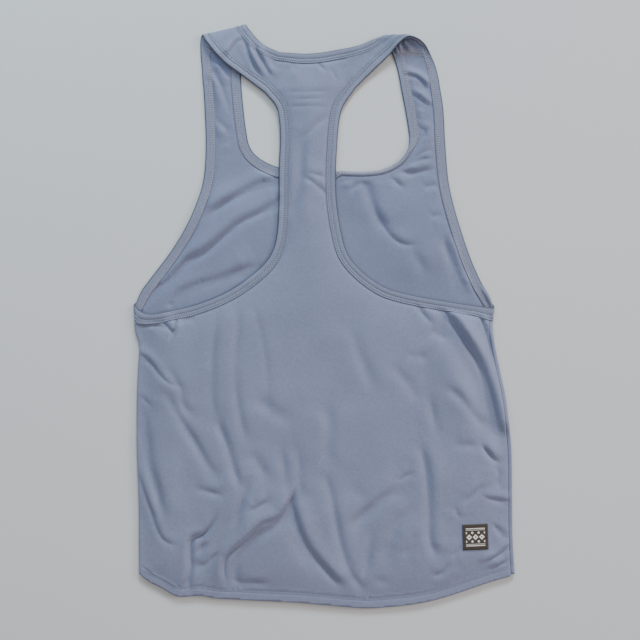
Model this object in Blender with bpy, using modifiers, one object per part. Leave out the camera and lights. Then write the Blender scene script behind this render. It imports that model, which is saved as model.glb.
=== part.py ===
"""Stringer tank top, laid flat with its back up, as its cut and sewn pieces.

Run with: blender --background --python part.py

Metres, +Z up.  The garment lies on z = 0 with its shoulders toward +Y and its
left edge, as seen from above, toward -X.  The front panel is the lower layer
and the back panel the upper one.  Outlines are drawn on a plan grid whose step
is worked out from the chest width; heights and widths are real sizes.
"""

from collections import namedtuple
from functools import lru_cache
from math import cos, pi, radians, sin

import bmesh
import bpy
import numpy as np
from mathutils import Vector
from mathutils.geometry import delaunay_2d_cdt

# Driving dimensions
CHEST_WIDTH = 0.4464          # underarm to underarm, laid flat
CHEST_STEPS = 360             # the same width on the plan grid
STEP = CHEST_WIDTH / CHEST_STEPS
PANEL_WALL = 0.0012
BINDING_WALL = 0.0016
BINDING_WIDTH = 0.0125
LABEL_SIDE = 0.0315
LABEL_WALL = 0.0010
CENTRING = (0.0010, -0.0022, 0.0)  # puts the middle of the finished outline on the origin
SEAM_GAP = 0.0004             # between two pieces at a seam, which still clears where they bend
STRAP_SEAM_GAP = 0.0016       # the same along the straps, where both turn over the shoulder

# Levels of the cloth's middle surface above what the garment lies on
LOWER = PANEL_WALL / 2
LAYER_PITCH = 0.0026          # lower layer to upper layer, middle to middle
UPPER = LOWER + LAYER_PITCH
BINDING_LIFT = (BINDING_WALL - PANEL_WALL) / 2

# Side folds and seams
FOLD_RADIUS = 0.0018          # how far the side folds bulge past the layers
LEFT_SEAM_INSET = 0.0070      # hidden seam, under the left edge
RIGHT_SEAM_INSET = 0.0045     # seam that shows beside the right edge
HEM_STAGGER = 0.0015          # the front hem stops this far inside the back hem

# How high the cloth stands between its folds
BACK_PUFF = 0.0040
BACK_PUFF_REACH = 0.030
SOFTNESS = 0.0008             # rounds the change from raised to lying cloth

# Mesh spacing
OUTLINE_SPACING = 0.011
BINDING_SPACING = 0.0105
GRID_SPACING = 0.020
GRID_ROW_SPACING = GRID_SPACING * 0.87
GRID_MARGIN = GRID_SPACING * 0.45     # from the outline to the grid's points
GRID_GAP = GRID_SPACING * 0.5         # from the folds' points to the grid's
FOLD_SPACING = 0.013
LABEL_GAP = 0.006             # from the label's points to the folds'
OUTLINE_MARGIN = 0.004        # from the outline to the folds' points
CORNER_CLEARANCE = 0.003      # from a side to the next point of the rim
CURVE_STEPS = 12              # between two points of a drawn outline
STRAP_COLUMNS = 6
STRAP_ROWS_PER_SECTION = 3
BINDING_COLUMNS = 2
LABEL_CELLS = 3

GARMENT = "stringer_tank_top"
CLOTH = (0.236, 0.279, 0.366, 1.0)
BINDING_CLOTH = (0.245, 0.285, 0.370, 1.0)
LABEL_BROWN = (0.060, 0.034, 0.027, 1.0)

# Outlines on the plan grid, each read from the underarm or the left
LEFT_EDGE = [(-191, 14), (-190, 2), (-190, -12), (-185.5, -28), (-186.5, -44), (-188, -82),
             (-188, -126), (-186, -186), (-186, -222), (-185.5, -256)]
RIGHT_EDGE = [(169, 14), (168, -1), (167.5, -12), (170, -30), (175, -54), (180, -78),
              (183, -102), (186, -126), (187, -186), (187.5, -222), (189.5, -257)]
HEM = [(-185.5, -256), (-175, -264), (-163, -270), (-151, -277), (-143, -278.5), (-125, -277.5),
       (-110, -280), (-85, -281.5), (-25, -284.5), (25, -289), (45, -290), (85, -286.5),
       (105, -283), (125, -277.5), (165, -264), (189.5, -257)]
BACK_ARMHOLE_LEFT = [(-189.5, 13), (-187, 9.5), (-183, 6.5), (-177, 4.4), (-168, 4.6), (-154, 7.7),
                     (-128, 14), (-97, 27), (-71, 45), (-58, 58), (-52, 69), (-48.5, 83),
                     (-46.5, 110), (-46, 155), (-45, 178), (-46, 198), (-49, 211), (-60, 225)]
BACK_ARMHOLE_RIGHT = [(167.5, 10.5), (146, 13), (115, 18), (95, 21.5), (79, 25), (59, 31.5),
                      (37, 47), (23, 64), (16, 88), (11.5, 120), (11, 148), (12, 168),
                      (14.5, 198), (18, 211), (30, 229)]
BACK_NECK = [(-45.3, 265.7), (-35, 265), (-20, 264.3), (-5, 265.3), (17, 269)]
FRONT_ARMHOLE_LEFT = [(-189.5, 15), (-184, 27), (-173, 42), (-155, 66), (-140, 90), (-129, 114),
                      (-122, 138), (-119.5, 170), (-120.5, 208), (-122, 233)]
FRONT_ARMHOLE_RIGHT = [(167.5, 14), (165, 21), (157, 35), (147, 57), (138, 82), (130, 108),
                       (124, 135), (120.5, 174), (118.5, 210), (114.5, 235.5)]
FRONT_NECK = [(-84, 236), (-82, 213), (-79, 188), (-75.5, 172), (-68, 162), (-47, 151),
              (-18, 146), (11, 146.5), (40, 145.5), (60, 148.5), (75, 157), (83, 168),
              (84.5, 177), (82, 198), (75, 235.2)]
UNDERARM_INNER = -3           # where the bindings' inner edges cross both side folds

# Each strap, from the yoke over the shoulder to the front.  A row is a cross
# section: plan x, plan y and height in mm at the armhole, the middle, the neck.
Section = namedtuple("Section", "armhole middle neck")
LEFT_STRAP = [
    Section((-60, 225, 3.2), (-53, 247, 3.2), (-45.3, 265.7, 3.2)),
    Section((-83, 242.5, 3.8), (-73, 258, 3.5), (-61, 273, 3.3)),
    Section((-100, 255, 4.8), (-85, 267.5, 4.0), (-69, 280.5, 3.4)),
    Section((-112, 267.5, 5.2), (-95, 278, 4.2), (-74, 286.5, 3.4)),
    Section((-120, 278, 4.4), (-100.5, 284.5, 3.8), (-77, 290.2, 3.3)),
    Section((-123, 282.5, 2.5), (-102, 287.7, 2.2), (-78.7, 293, 2.0)),
    Section((-124.2, 279.5, 0.6), (-102.5, 284.5, 0.6), (-79.2, 290, 0.6)),
    Section((-124.5, 266, 0.6), (-103.5, 270.5, 0.6), (-82, 276, 0.6)),
    Section((-123, 248, 0.6), (-104, 251, 0.6), (-84, 256, 0.6)),
    Section((-122, 233, 0.6), (-103, 234, 0.6), (-84, 236, 0.6))]
LEFT_SHOULDER_SEAM = 7        # the section that the seam follows
RIGHT_STRAP = [
    Section((30, 229, 3.2), (23.5, 249.5, 3.2), (17, 269, 3.2)),
    Section((42, 241, 3.6), (35.5, 257, 3.5), (28.5, 271.2, 3.3)),
    Section((54, 252.5, 5.0), (48, 265.5, 4.2), (39, 274.2, 3.4)),
    Section((65, 263.5, 8.0), (59.5, 274, 6.0), (47, 278, 3.6)),
    Section((74.5, 275, 12.0), (68, 280.5, 8.8), (52.5, 279.8, 3.6)),
    Section((83, 281.3, 13.5), (75, 283.4, 9.5), (56, 281.1, 2.2)),
    Section((92, 279.7, 12.5), (80.5, 281.2, 6.0), (58, 278.5, 0.8)),
    Section((100, 273.5, 9.0), (86, 275, 2.2), (61.5, 273, 0.6)),
    Section((106, 262.5, 4.0), (89, 264.5, 0.8), (67, 263.5, 0.6)),
    Section((111, 250, 1.2), (92, 251, 0.6), (71.5, 250.5, 0.6)),
    Section((114.5, 235.5, 0.6), (95, 235.5, 0.6), (75, 235.2, 0.6))]
RIGHT_SHOULDER_SEAM = 8
SHOULDER_SECTION_RUN = 0.015  # between the sections beside a shoulder seam

# The largest folds.  Width, depth of the trough and height of the ridges on its
# left and right are in mm; the points are on the plan grid.
Fold = namedtuple("Fold", "name width depth left right points")
BACK_FOLDS = [
    Fold("right side, from the armhole", 8, 4.5, 2.6, 1.0,
         [(109, 18), (131, -5), (151, -37), (164, -72), (176, -118)]),
    Fold("right underarm", 4, 3.0, 1.5, 0.6, [(153, 10), (163, -14), (168, -40)]),
    Fold("left side, upper", 4, 3.5, 2.4, 0.8, [(-192, -37), (-175, -41), (-156, -62), (-142, -90)]),
    Fold("left side, long", 6, 3.0, 1.6, 1.2,
         [(-153, -76), (-143, -107), (-127, -133), (-112, -154), (-92, -164)]),
    Fold("left edge", 6, 3.0, 1.0, 1.6, [(-184, -94), (-177, -142), (-165, -182), (-162, -206)]),
    Fold("left edge, lower", 4, 3.0, 1.8, 0.8, [(-190, -158), (-174, -190), (-164, -216), (-150, -230)]),
    Fold("middle left", 6, 2.6, 1.2, 1.2, [(-109, -97), (-98, -126), (-90, -152), (-86, -178)]),
    Fold("hem, bent", 5, 4.5, 1.2, 3.0,
         [(-106, -190), (-120, -216), (-134, -224), (-134, -254), (-142, -284)]),
    Fold("peak, left leg", 6, 4.5, 0.6, 2.6,
         [(-30, -178), (-62, -200), (-90, -228), (-98, -246), (-106, -270)]),
    Fold("peak, right leg", 6, 4.5, 2.6, 0.6, [(-34, -188), (-22, -220), (-4, -245), (18, -274)]),
    Fold("middle right", 6, 2.6, 1.6, 0.8, [(-3, -150), (10, -190), (20, -232), (34, -270)]),
    Fold("right of the middle", 7, 3.0, 1.4, 1.0, [(94, -116), (102, -160), (105, -212), (118, -250)]),
    Fold("yoke, left", 3, 1.0, 1.6, 1.2, [(-84, 288), (-74, 268), (-62, 244), (-50, 228)]),
    Fold("yoke, right", 3, 1.0, 1.4, 1.0, [(-10, 258), (4, 246), (18, 232)])]
FRONT_FOLDS = [
    Fold("left opening, upper", 5, 2.5, 0.6, 1.4, [(-36, 140), (-70, 130), (-97, 117), (-122, 94)]),
    Fold("left opening, lower", 5, 3.0, 0.6, 2.0,
         [(-40, 116), (-85, 95), (-120, 66), (-140, 53), (-168, 30)]),
    Fold("right opening, curved", 5, 3.0, 1.8, 0.6, [(46, 140), (52, 100), (68, 78), (94, 74)]),
    Fold("right opening, outer", 5, 2.5, 0.6, 1.2, [(116, 90), (126, 55), (138, 14)]),
    Fold("right strap foot", 4, 2.0, 0.8, 1.8, [(68, 152), (86, 147), (112, 160)]),
    Fold("right strap, lower", 3, 1.0, 1.4, 1.0, [(86, 228), (96, 224), (110, 211)])]

RIDGE_OFFSET = 1.8            # from trough to ridge, in fold widths
FLANK_OFFSET = 0.7            # to the steep part between them
FOLD_TAPER = 0.3              # share of a fold over which each end dies out

# Where the front panel stands up from what it lies on: plan centre, radii, mm
Swell = namedtuple("Swell", "x y reach_x reach_y height")
FRONT_SWELLS = [
    Swell(-98, 88, 48, 40, 3.2),
    Swell(92, 88, 48, 48, 3.2)]

LABEL_CENTRE = (150.3, -219)  # plan grid
LABEL_TURN = radians(1.8)
LABEL_CLEARING = 0.030        # the folds die out this near the label


# Curves and distances

def plan(points):
    """Plan grid points in metres."""
    return np.asarray(points, float) * STEP


def solid_point(point):
    """A section's point, (plan x, plan y, mm), in metres."""
    return np.array([point[0] * STEP, point[1] * STEP, point[2] * 0.001])


def between(before, start, end, after, share):
    """Centripetal Catmull-Rom point, share of the way from start to end."""
    points = [before, start, end, after]
    knots = [0.0]
    for first, second in zip(points, points[1:]):
        knots.append(knots[-1] + max(np.max(np.linalg.norm(second - first, axis=-1)), 1e-9) ** 0.5)
    knot = knots[1] + share * (knots[2] - knots[1])

    def mix(first, second, low, high):
        return (first * (knots[high] - knot) + second * (knot - knots[low])) / (knots[high] - knots[low])

    near = [mix(points[i], points[i + 1], i, i + 1) for i in range(3)]
    far = [mix(near[i], near[i + 1], i, i + 2) for i in range(2)]
    return mix(far[0], far[1], 1, 2)


def smooth_curve(points, spacing):
    """Evenly spaced points on a smooth curve through the given ones."""
    points = [np.asarray(point, float) for point in points]
    ring = [2 * points[0] - points[1]] + points + [2 * points[-1] - points[-2]]
    dense = [between(*ring[i:i + 4], k / CURVE_STEPS)
             for i in range(len(ring) - 3) for k in range(CURVE_STEPS)]
    dense = np.array(dense + [ring[-2]])
    travelled = np.r_[0, np.cumsum(np.linalg.norm(np.diff(dense, axis=0), axis=1))]
    stations = np.linspace(0, travelled[-1], max(2, round(travelled[-1] / spacing)) + 1)
    return np.column_stack([np.interp(stations, travelled, dense[:, axis]) for axis in range(dense.shape[1])])


def ease(value):
    """Smooth step from 0 to 1."""
    value = np.clip(value, 0, 1)
    return value * value * (3 - 2 * value)


def beside(line, x, y):
    """Signed distance to a polyline, positive on its left, and the share of it travelled."""
    start, run = line[:-1], np.diff(line, axis=0)
    length = np.linalg.norm(run, axis=1)
    away_x, away_y = x[:, None] - start[:, 0], y[:, None] - start[:, 1]
    share = np.clip((away_x * run[:, 0] + away_y * run[:, 1]) / length ** 2, 0, 1)
    off_x, off_y = away_x - share * run[:, 0], away_y - share * run[:, 1]
    distance = np.hypot(off_x, off_y)
    nearest = distance.argmin(axis=1)
    rows = np.arange(len(x))
    turn = run[nearest, 0] * off_y[rows, nearest] - run[nearest, 1] * off_x[rows, nearest]
    travelled = np.r_[0, np.cumsum(length)][nearest] + share[rows, nearest] * length[nearest]
    return distance[rows, nearest] * np.where(turn < 0, -1, 1), travelled / length.sum()


def is_inside(outline, x, y):
    """Even-odd test of points against a closed outline."""
    x1, y1 = outline[:, 0], outline[:, 1]
    x2, y2 = np.roll(x1, -1), np.roll(y1, -1)
    spans = (y1 > y[:, None]) != (y2 > y[:, None])
    rise = np.where(y2 == y1, 1e-12, y2 - y1)
    crossing = x1 + (y[:, None] - y1) * (x2 - x1) / rise
    return (spans & (x[:, None] < crossing)).sum(axis=1) % 2 == 1


def edge_distance(outline, x, y):
    """Distance to the nearest side of a closed outline."""
    return np.abs(beside(np.vstack([outline, outline[:1]]), x, y)[0])


# Heights of the two layers

@lru_cache(maxsize=None)
def fold_line(points):
    """Smooth line of a fold's trough."""
    return smooth_curve(plan(points), FOLD_SPACING / 2)


def fold_height(folds, x, y):
    """Sum of the folds' troughs and ridges."""
    height = np.zeros_like(x)
    for fold in folds:
        offset, share = beside(fold_line(tuple(fold.points)), x, y)
        width = fold.width * 0.001
        taper = ease(share / FOLD_TAPER) * ease((1 - share) / FOLD_TAPER)
        trough = fold.depth * np.exp(-(offset / width) ** 2)
        left = fold.left * np.exp(-(offset / width - RIDGE_OFFSET) ** 2)
        right = fold.right * np.exp(-(offset / width + RIDGE_OFFSET) ** 2)
        height += taper * (left + right - trough) * 0.001
    return height


def soft_floor(height, floor):
    """The larger of two heights, with the change rounded off."""
    rest = height - floor
    return floor + (rest + np.hypot(rest, SOFTNESS) - SOFTNESS * np.exp(-np.abs(rest) / SOFTNESS)) / 2


def lower_height(x, y):
    """Middle surface of the front panel."""
    x, y = np.atleast_1d(x).astype(float), np.atleast_1d(y).astype(float)
    swell = np.zeros_like(x)
    for row in FRONT_SWELLS:
        reach = ((x / STEP - row.x) / row.reach_x) ** 2 + ((y / STEP - row.y) / row.reach_y) ** 2
        swell += row.height * 0.001 * np.exp(-reach ** 2)
    return soft_floor(LOWER + swell + fold_height(FRONT_FOLDS, x, y), LOWER)


def upper_height(x, y):
    """Middle surface of the back panel, always clear of the front one."""
    x, y = np.atleast_1d(x).astype(float), np.atleast_1d(y).astype(float)
    outline = back_rims()
    gone_in = edge_distance(outline, x, y) * is_inside(outline, x, y)
    puff = BACK_PUFF * (1 - np.exp(-(gone_in / BACK_PUFF_REACH) ** 2))
    label_x, label_y = plan(LABEL_CENTRE)
    near_label = ease((np.hypot(x - label_x, y - label_y) - LABEL_SIDE / 2) / LABEL_CLEARING)
    folds = fold_height(BACK_FOLDS, x, y) * near_label
    return soft_floor(UPPER + puff + folds, lower_height(x, y) + LAYER_PITCH)


@lru_cache(maxsize=None)
def back_rims():
    """Rough outline of the back on its layer: the cloth lies lowest along it."""
    return plan(LEFT_EDGE[::-1] + BACK_ARMHOLE_LEFT + BACK_NECK + BACK_ARMHOLE_RIGHT[::-1]
                + RIGHT_EDGE + HEM[-2:0:-1])


# Straps

def section_point(section, across):
    """Point on a section: 0 at the armhole, 1 at the neck."""
    armhole, middle, neck = (solid_point(point) for point in section)
    across = np.asarray(across, float)[:, None]
    return (armhole * (1 - across) * (1 - 2 * across) + middle * 4 * across * (1 - across)
            + neck * across * (2 * across - 1))


def strap_row(strap, place, across):
    """Points across a strap; place counts sections from the yoke."""
    index = min(int(place), len(strap) - 2)
    rows = [section_point(section, across) for section in strap]
    before = rows[index - 1] if index > 0 else 2 * rows[0] - rows[1]
    after = rows[index + 2] if index + 2 < len(rows) else 2 * rows[-1] - rows[-2]
    points = between(before, rows[index], rows[index + 1], after, place - index)
    x, y = points[:, 0], points[:, 1]
    from_yoke, from_front = ease(1 - place), ease(1 - (len(strap) - 1 - place))
    folds = (fold_height(BACK_FOLDS, x, y) * ease((3 - place) / 2)
             + fold_height(FRONT_FOLDS, x, y) * ease((place - len(strap) + 4) / 2))
    lying = np.clip(points[:, 2], LOWER, UPPER)
    height = np.maximum(points[:, 2] + folds, lying)
    height = height * (1 - from_yoke) + upper_height(x, y) * from_yoke
    points[:, 2] = height * (1 - from_front) + lower_height(x, y) * from_front
    return points


def binding_share(strap, place, reach):
    """How far across a strap a band of this width reaches."""
    points = strap_row(strap, place, np.linspace(0, 1, 9))
    return reach / np.linalg.norm(np.diff(points, axis=0), axis=1).sum()


def strap_places(start, end):
    """Evenly split places between two sections."""
    count = max(1, round(abs(end - start) * STRAP_ROWS_PER_SECTION))
    return np.linspace(start, end, count + 1)


def strap_cloth(strap, start, end):
    """Rows of the panel between a strap's two bindings."""
    rows = []
    for place in strap_places(start, end):
        edge = binding_share(strap, place, BINDING_WIDTH + STRAP_SEAM_GAP)
        rows.append(strap_row(strap, place, np.linspace(edge, 1 - edge, STRAP_COLUMNS + 1)))
    return np.array(rows)


def strap_binding(strap, side):
    """Rows of (rim, inner edge) along one side of a strap, yoke to front."""
    rows = []
    for place in strap_places(0, len(strap) - 1):
        across = np.linspace(0, binding_share(strap, place, BINDING_WIDTH), BINDING_COLUMNS + 1)
        rows.append(strap_row(strap, place, across if side == "armhole" else 1 - across))
    return rows


# Bindings on the two layers

def rim_band(points, body_side, first=None, last=None):
    """Rim points and the vectors to the band's inner edge, square to the rim.

    body_side is 1 where the cloth lies to the left of the rim and -1 where it
    lies to the right.  first and last turn the ends to given vectors.
    """
    rim = smooth_curve(plan(points), BINDING_SPACING)
    run = np.gradient(rim, axis=0)
    run /= np.linalg.norm(run, axis=1)[:, None]
    inward = np.column_stack([-run[:, 1], run[:, 0]]) * body_side * BINDING_WIDTH
    travelled = np.r_[0, np.cumsum(np.linalg.norm(np.diff(rim, axis=0), axis=1))]
    turning = 2 * BINDING_WIDTH
    for given, distance in ((first, travelled), (last, travelled[-1] - travelled)):
        if given is not None:
            kept = ease(distance / turning)[:, None]
            inward = inward * kept + np.asarray(given) * (1 - kept)
    return rim, inward


def strap_vector(strap, place, side):
    """Plan vector from a strap's rim to its binding's inner edge."""
    edge = binding_share(strap, place, BINDING_WIDTH)
    across = [0, edge] if side == "armhole" else [1, 1 - edge]
    rim, inner = section_point(strap[place], across)
    return (inner - rim)[:2]


def underarm_vector(rim_point, edge_x):
    """Plan vector from the rim at a side fold to the band's inner edge there."""
    return plan((edge_x, UNDERARM_INNER)) - plan(rim_point)


def fold_side(edge, side):
    """Plan x of a side fold's tangent to the layers, at the bindings' inner edge."""
    x = edge_at(edge, UNDERARM_INNER * STEP)
    return (x + side * FOLD_RADIUS) / STEP


@lru_cache(maxsize=None)
def edge_line(edge):
    """Smooth line of a side edge."""
    return smooth_curve(plan(edge), OUTLINE_SPACING / 2)


def edge_at(edge, y):
    """X of a side edge at a given y."""
    line = edge_line(tuple(edge))
    return np.interp(-np.asarray(y), -line[:, 1], line[:, 0])


def rims():
    """Every stretch of rim that lies on a layer, by name, as (rim, inward)."""
    left_x, right_x = fold_side(LEFT_EDGE, 1), fold_side(RIGHT_EDGE, -1)
    last_left, last_right = len(LEFT_STRAP) - 1, len(RIGHT_STRAP) - 1
    return {
        "back left": rim_band(BACK_ARMHOLE_LEFT, -1, underarm_vector(BACK_ARMHOLE_LEFT[0], left_x),
                              strap_vector(LEFT_STRAP, 0, "armhole")),
        "back right": rim_band(BACK_ARMHOLE_RIGHT, 1, underarm_vector(BACK_ARMHOLE_RIGHT[0], right_x),
                               strap_vector(RIGHT_STRAP, 0, "armhole")),
        "back neck": rim_band(BACK_NECK, -1, strap_vector(LEFT_STRAP, 0, "neck"),
                              strap_vector(RIGHT_STRAP, 0, "neck")),
        "front left": rim_band(FRONT_ARMHOLE_LEFT, -1, underarm_vector(FRONT_ARMHOLE_LEFT[0], left_x),
                               strap_vector(LEFT_STRAP, last_left, "armhole")),
        "front right": rim_band(FRONT_ARMHOLE_RIGHT, 1, underarm_vector(FRONT_ARMHOLE_RIGHT[0], right_x),
                                strap_vector(RIGHT_STRAP, last_right, "armhole")),
        "front neck": rim_band(FRONT_NECK, -1, strap_vector(LEFT_STRAP, last_left, "neck"),
                               strap_vector(RIGHT_STRAP, last_right, "neck"))}


def on_layer(stretch, height):
    """Rows of (rim, inner edge) lying on a layer."""
    rim, inward = stretch
    shares = np.linspace(0, 1, BINDING_COLUMNS + 1)[:, None]
    rows = [start + shares * vector for start, vector in zip(rim, inward)]
    return [np.column_stack([row, height(*row.T)]) for row in rows]


def panel_edge(stretch):
    """The panel's edge beside a stretch of binding."""
    rim, inward = stretch
    return rim + inward * (1 + SEAM_GAP / BINDING_WIDTH)


def round_fold(under, over, bulge_x):
    """Rows around a side fold, between a row on one layer and the same row on the other."""
    rows = []
    for angle in (-pi / 4, 0, pi / 4):
        row = (under + over) / 2 + (over - under) / 2 * sin(angle)
        row[:, 0] += bulge_x * cos(angle)
        rows.append(row)
    return rows


# Meshes

def make_object(name, mesh_data, wall, material, collection):
    """A named object whose cloth gets its wall from Solidify."""
    mesh = bpy.data.meshes.new(name)
    mesh_data.to_mesh(mesh)
    mesh_data.free()
    mesh.materials.append(material)
    mesh.shade_smooth()
    cloth = bpy.data.objects.new(name, mesh)
    collection.objects.link(cloth)
    cloth.parent = bpy.data.objects[GARMENT]
    solidify = cloth.modifiers.new("wall", "SOLIDIFY")
    solidify.thickness = wall
    solidify.offset = 0.0
    return cloth


def add_rows(mesh_data, rows, closed=False):
    """Quads between neighbouring rows of points."""
    made = [[mesh_data.verts.new(point) for point in row] for row in rows]
    pairs = list(zip(made, made[1:] + made[:1])) if closed else list(zip(made, made[1:]))
    for lower, upper in pairs:
        for i in range(len(lower) - 1):
            mesh_data.faces.new((lower[i], lower[i + 1], upper[i + 1], upper[i]))


def grid_points(outline):
    """Staggered points inside an outline, clear of its sides."""
    low, high = outline.min(axis=0), outline.max(axis=0)
    rows = np.arange(low[1], high[1], GRID_ROW_SPACING)
    columns = np.arange(low[0], high[0], GRID_SPACING)
    points = [(x + GRID_SPACING / 2 * (i % 2), y) for i, y in enumerate(rows) for x in columns]
    return keep_inside(outline, np.array(points), GRID_MARGIN)


def keep_inside(outline, points, margin):
    """Points that lie inside an outline and at least margin from its sides."""
    x, y = points.T
    return points[is_inside(outline, x, y) & (edge_distance(outline, x, y) > margin)]


def fold_points(folds, outline):
    """Points along each fold's trough and ridges, so that the mesh carries them."""
    points = []
    for fold in folds:
        line = smooth_curve(plan(fold.points), FOLD_SPACING)
        run = np.gradient(line, axis=0)
        run /= np.linalg.norm(run, axis=1)[:, None]
        aside = np.column_stack([-run[:, 1], run[:, 0]]) * fold.width * 0.001
        points += [line + aside * shift
                   for shift in (-RIDGE_OFFSET, -FLANK_OFFSET, FLANK_OFFSET, RIDGE_OFFSET)]
    return keep_inside(outline, np.vstack(points), OUTLINE_MARGIN)


def thin_out(points, kept, spacing):
    """Points that are not too near those already kept."""
    gap = np.linalg.norm(points[:, None] - kept[None], axis=2).min(axis=1)
    return points[gap > spacing]


def add_sheet(mesh_data, outline, height, folds, extra=None):
    """A layer's flat part: its outline filled with triangles and raised to its heights."""
    inner = fold_points(folds, outline)
    if extra is not None:
        inner = np.vstack([extra, thin_out(inner, extra, LABEL_GAP)])
    inner = np.vstack([inner, thin_out(grid_points(outline), inner, GRID_GAP)])
    flat = [Vector(point) for point in np.vstack([outline, inner])]
    border = list(range(len(outline)))
    corners, _, faces, *_ = delaunay_2d_cdt(flat, [], [border], 1, 1e-7)
    x, y = np.array([tuple(corner) for corner in corners]).T
    made = [mesh_data.verts.new(point) for point in zip(x, y, height(x, y))]
    for face in faces:
        mesh_data.faces.new([made[i] for i in face])


def finish_surface(mesh_data):
    """Joins the stretches of one piece of cloth and turns its faces the same way."""
    bmesh.ops.remove_doubles(mesh_data, verts=mesh_data.verts, dist=2e-5)
    bmesh.ops.recalc_face_normals(mesh_data, faces=mesh_data.faces)


def hem_line(inset):
    """The hem from left to right, moved inward by inset."""
    line = smooth_curve(plan(HEM), OUTLINE_SPACING)
    line[:, 1] += inset
    return line


def side_stations(top_y, bottom_y):
    """Y values down a side, evenly spaced."""
    count = round((top_y - bottom_y) / OUTLINE_SPACING)
    return np.linspace(top_y, bottom_y, count + 1)


def side_line(edge, inset, side, stations):
    """Plan points down a side, moved inward from the fold's outermost line."""
    return np.column_stack([edge_at(edge, stations) + side * inset, stations])


def wrap_rows(edge, side, stations, near_height, far_height, seam_inset):
    """Cloth that turns around a side fold and ends at a seam on the other layer."""
    tangent = side_line(edge, FOLD_RADIUS, side, stations)
    seam = side_line(edge, seam_inset, side, stations)
    x, y = tangent.T
    near = np.column_stack([tangent, near_height(x, y)])
    far = np.column_stack([tangent, far_height(x, y)])
    around = round_fold(near, far, -side * FOLD_RADIUS)
    end_x, end_y = seam.T
    return [near] + around + [far, np.column_stack([seam, far_height(end_x, end_y)])]


def back_panel(stretches, material, collection):
    """Upper layer, with both straps as far as the shoulder seams."""
    seam_share = SEAM_GAP / 2 / SHOULDER_SECTION_RUN
    left = strap_cloth(LEFT_STRAP, 0, LEFT_SHOULDER_SEAM - seam_share)
    right = strap_cloth(RIGHT_STRAP, 0, RIGHT_SHOULDER_SEAM - seam_share)
    left_rim, right_rim = panel_edge(stretches["back left"]), panel_edge(stretches["back right"])
    neck = panel_edge(stretches["back neck"])
    hem = hem_line(0.0)
    top_y = left_rim[0, 1]
    left_stations = side_stations(top_y, hem[0, 1])
    left_side = side_line(LEFT_EDGE, FOLD_RADIUS, 1, left_stations)
    seam_x = RIGHT_SEAM_INSET + SEAM_GAP / 2
    right_stations = side_stations(right_rim[0, 1], hem[-1, 1])
    right_side = side_line(RIGHT_EDGE, seam_x, -1, right_stations)
    across_hem = hem[(hem[:, 0] > left_side[-1, 0] + OUTLINE_MARGIN)
                     & (hem[:, 0] < right_side[-1, 0] - OUTLINE_MARGIN)]
    right_rim = right_rim[right_rim[:, 0] < right_side[0, 0] - CORNER_CLEARANCE]
    outline = np.vstack([left_side, across_hem, right_side[::-1], right_rim[:-1], right[0][:, :2],
                         neck[1:-1][::-1], left[0][::-1][:, :2], left_rim[1:-1][::-1]])
    mesh_data = bmesh.new()
    add_sheet(mesh_data, outline, upper_height, BACK_FOLDS, label_grid()[:, :2])
    add_rows(mesh_data, left)
    add_rows(mesh_data, right)
    add_rows(mesh_data, wrap_rows(LEFT_EDGE, 1, left_stations, upper_height, lower_height,
                                  LEFT_SEAM_INSET - SEAM_GAP / 2))
    finish_surface(mesh_data)
    return make_object("back_panel", mesh_data, PANEL_WALL, material, collection)


def front_panel(stretches, material, collection):
    """Lower layer, with the front straps up to the shoulder seams."""
    seam_share = SEAM_GAP / 2 / SHOULDER_SECTION_RUN
    left = strap_cloth(LEFT_STRAP, len(LEFT_STRAP) - 1, LEFT_SHOULDER_SEAM + seam_share)
    right = strap_cloth(RIGHT_STRAP, len(RIGHT_STRAP) - 1, RIGHT_SHOULDER_SEAM + seam_share)
    left_rim, right_rim = panel_edge(stretches["front left"]), panel_edge(stretches["front right"])
    neck = panel_edge(stretches["front neck"])
    hem = hem_line(HEM_STAGGER)
    seam_x = LEFT_SEAM_INSET + SEAM_GAP / 2
    left_stations = side_stations(left_rim[0, 1], hem[0, 1])
    left_side = side_line(LEFT_EDGE, seam_x, 1, left_stations)
    right_stations = side_stations(right_rim[0, 1], hem[-1, 1])
    right_side = side_line(RIGHT_EDGE, FOLD_RADIUS, -1, right_stations)
    across_hem = hem[(hem[:, 0] > left_side[-1, 0] + OUTLINE_MARGIN)
                     & (hem[:, 0] < right_side[-1, 0] - OUTLINE_MARGIN)]
    left_rim = left_rim[left_rim[:, 0] > left_side[0, 0] + CORNER_CLEARANCE]
    outline = np.vstack([left_side, across_hem, right_side[::-1], right_rim[1:-1], right[0][:, :2],
                         neck[1:-1][::-1], left[0][::-1][:, :2], left_rim[:-1][::-1]])
    mesh_data = bmesh.new()
    add_sheet(mesh_data, outline, lower_height, FRONT_FOLDS)
    add_rows(mesh_data, left)
    add_rows(mesh_data, right)
    add_rows(mesh_data, wrap_rows(RIGHT_EDGE, -1, right_stations, lower_height, upper_height,
                                  RIGHT_SEAM_INSET - SEAM_GAP / 2))
    finish_surface(mesh_data)
    return make_object("front_panel", mesh_data, PANEL_WALL, material, collection)


def binding(name, rows, material, collection):
    """A closed band from its rows of (rim, inner edge)."""
    lifted = [row + np.array([0, 0, BINDING_LIFT]) for row in rows]
    mesh_data = bmesh.new()
    add_rows(mesh_data, lifted, closed=True)
    finish_surface(mesh_data)
    return make_object(name, mesh_data, BINDING_WALL, material, collection)


def armhole_rows(back, front, strap, edge_bulge):
    """An armhole binding: back rim, strap, front rim, side fold."""
    up = on_layer(back, upper_height)
    down = on_layer(front, lower_height)[::-1]
    over = strap_binding(strap, "armhole")[1:-1]
    return up + over + down + round_fold(down[-1], up[0], edge_bulge)


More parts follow.
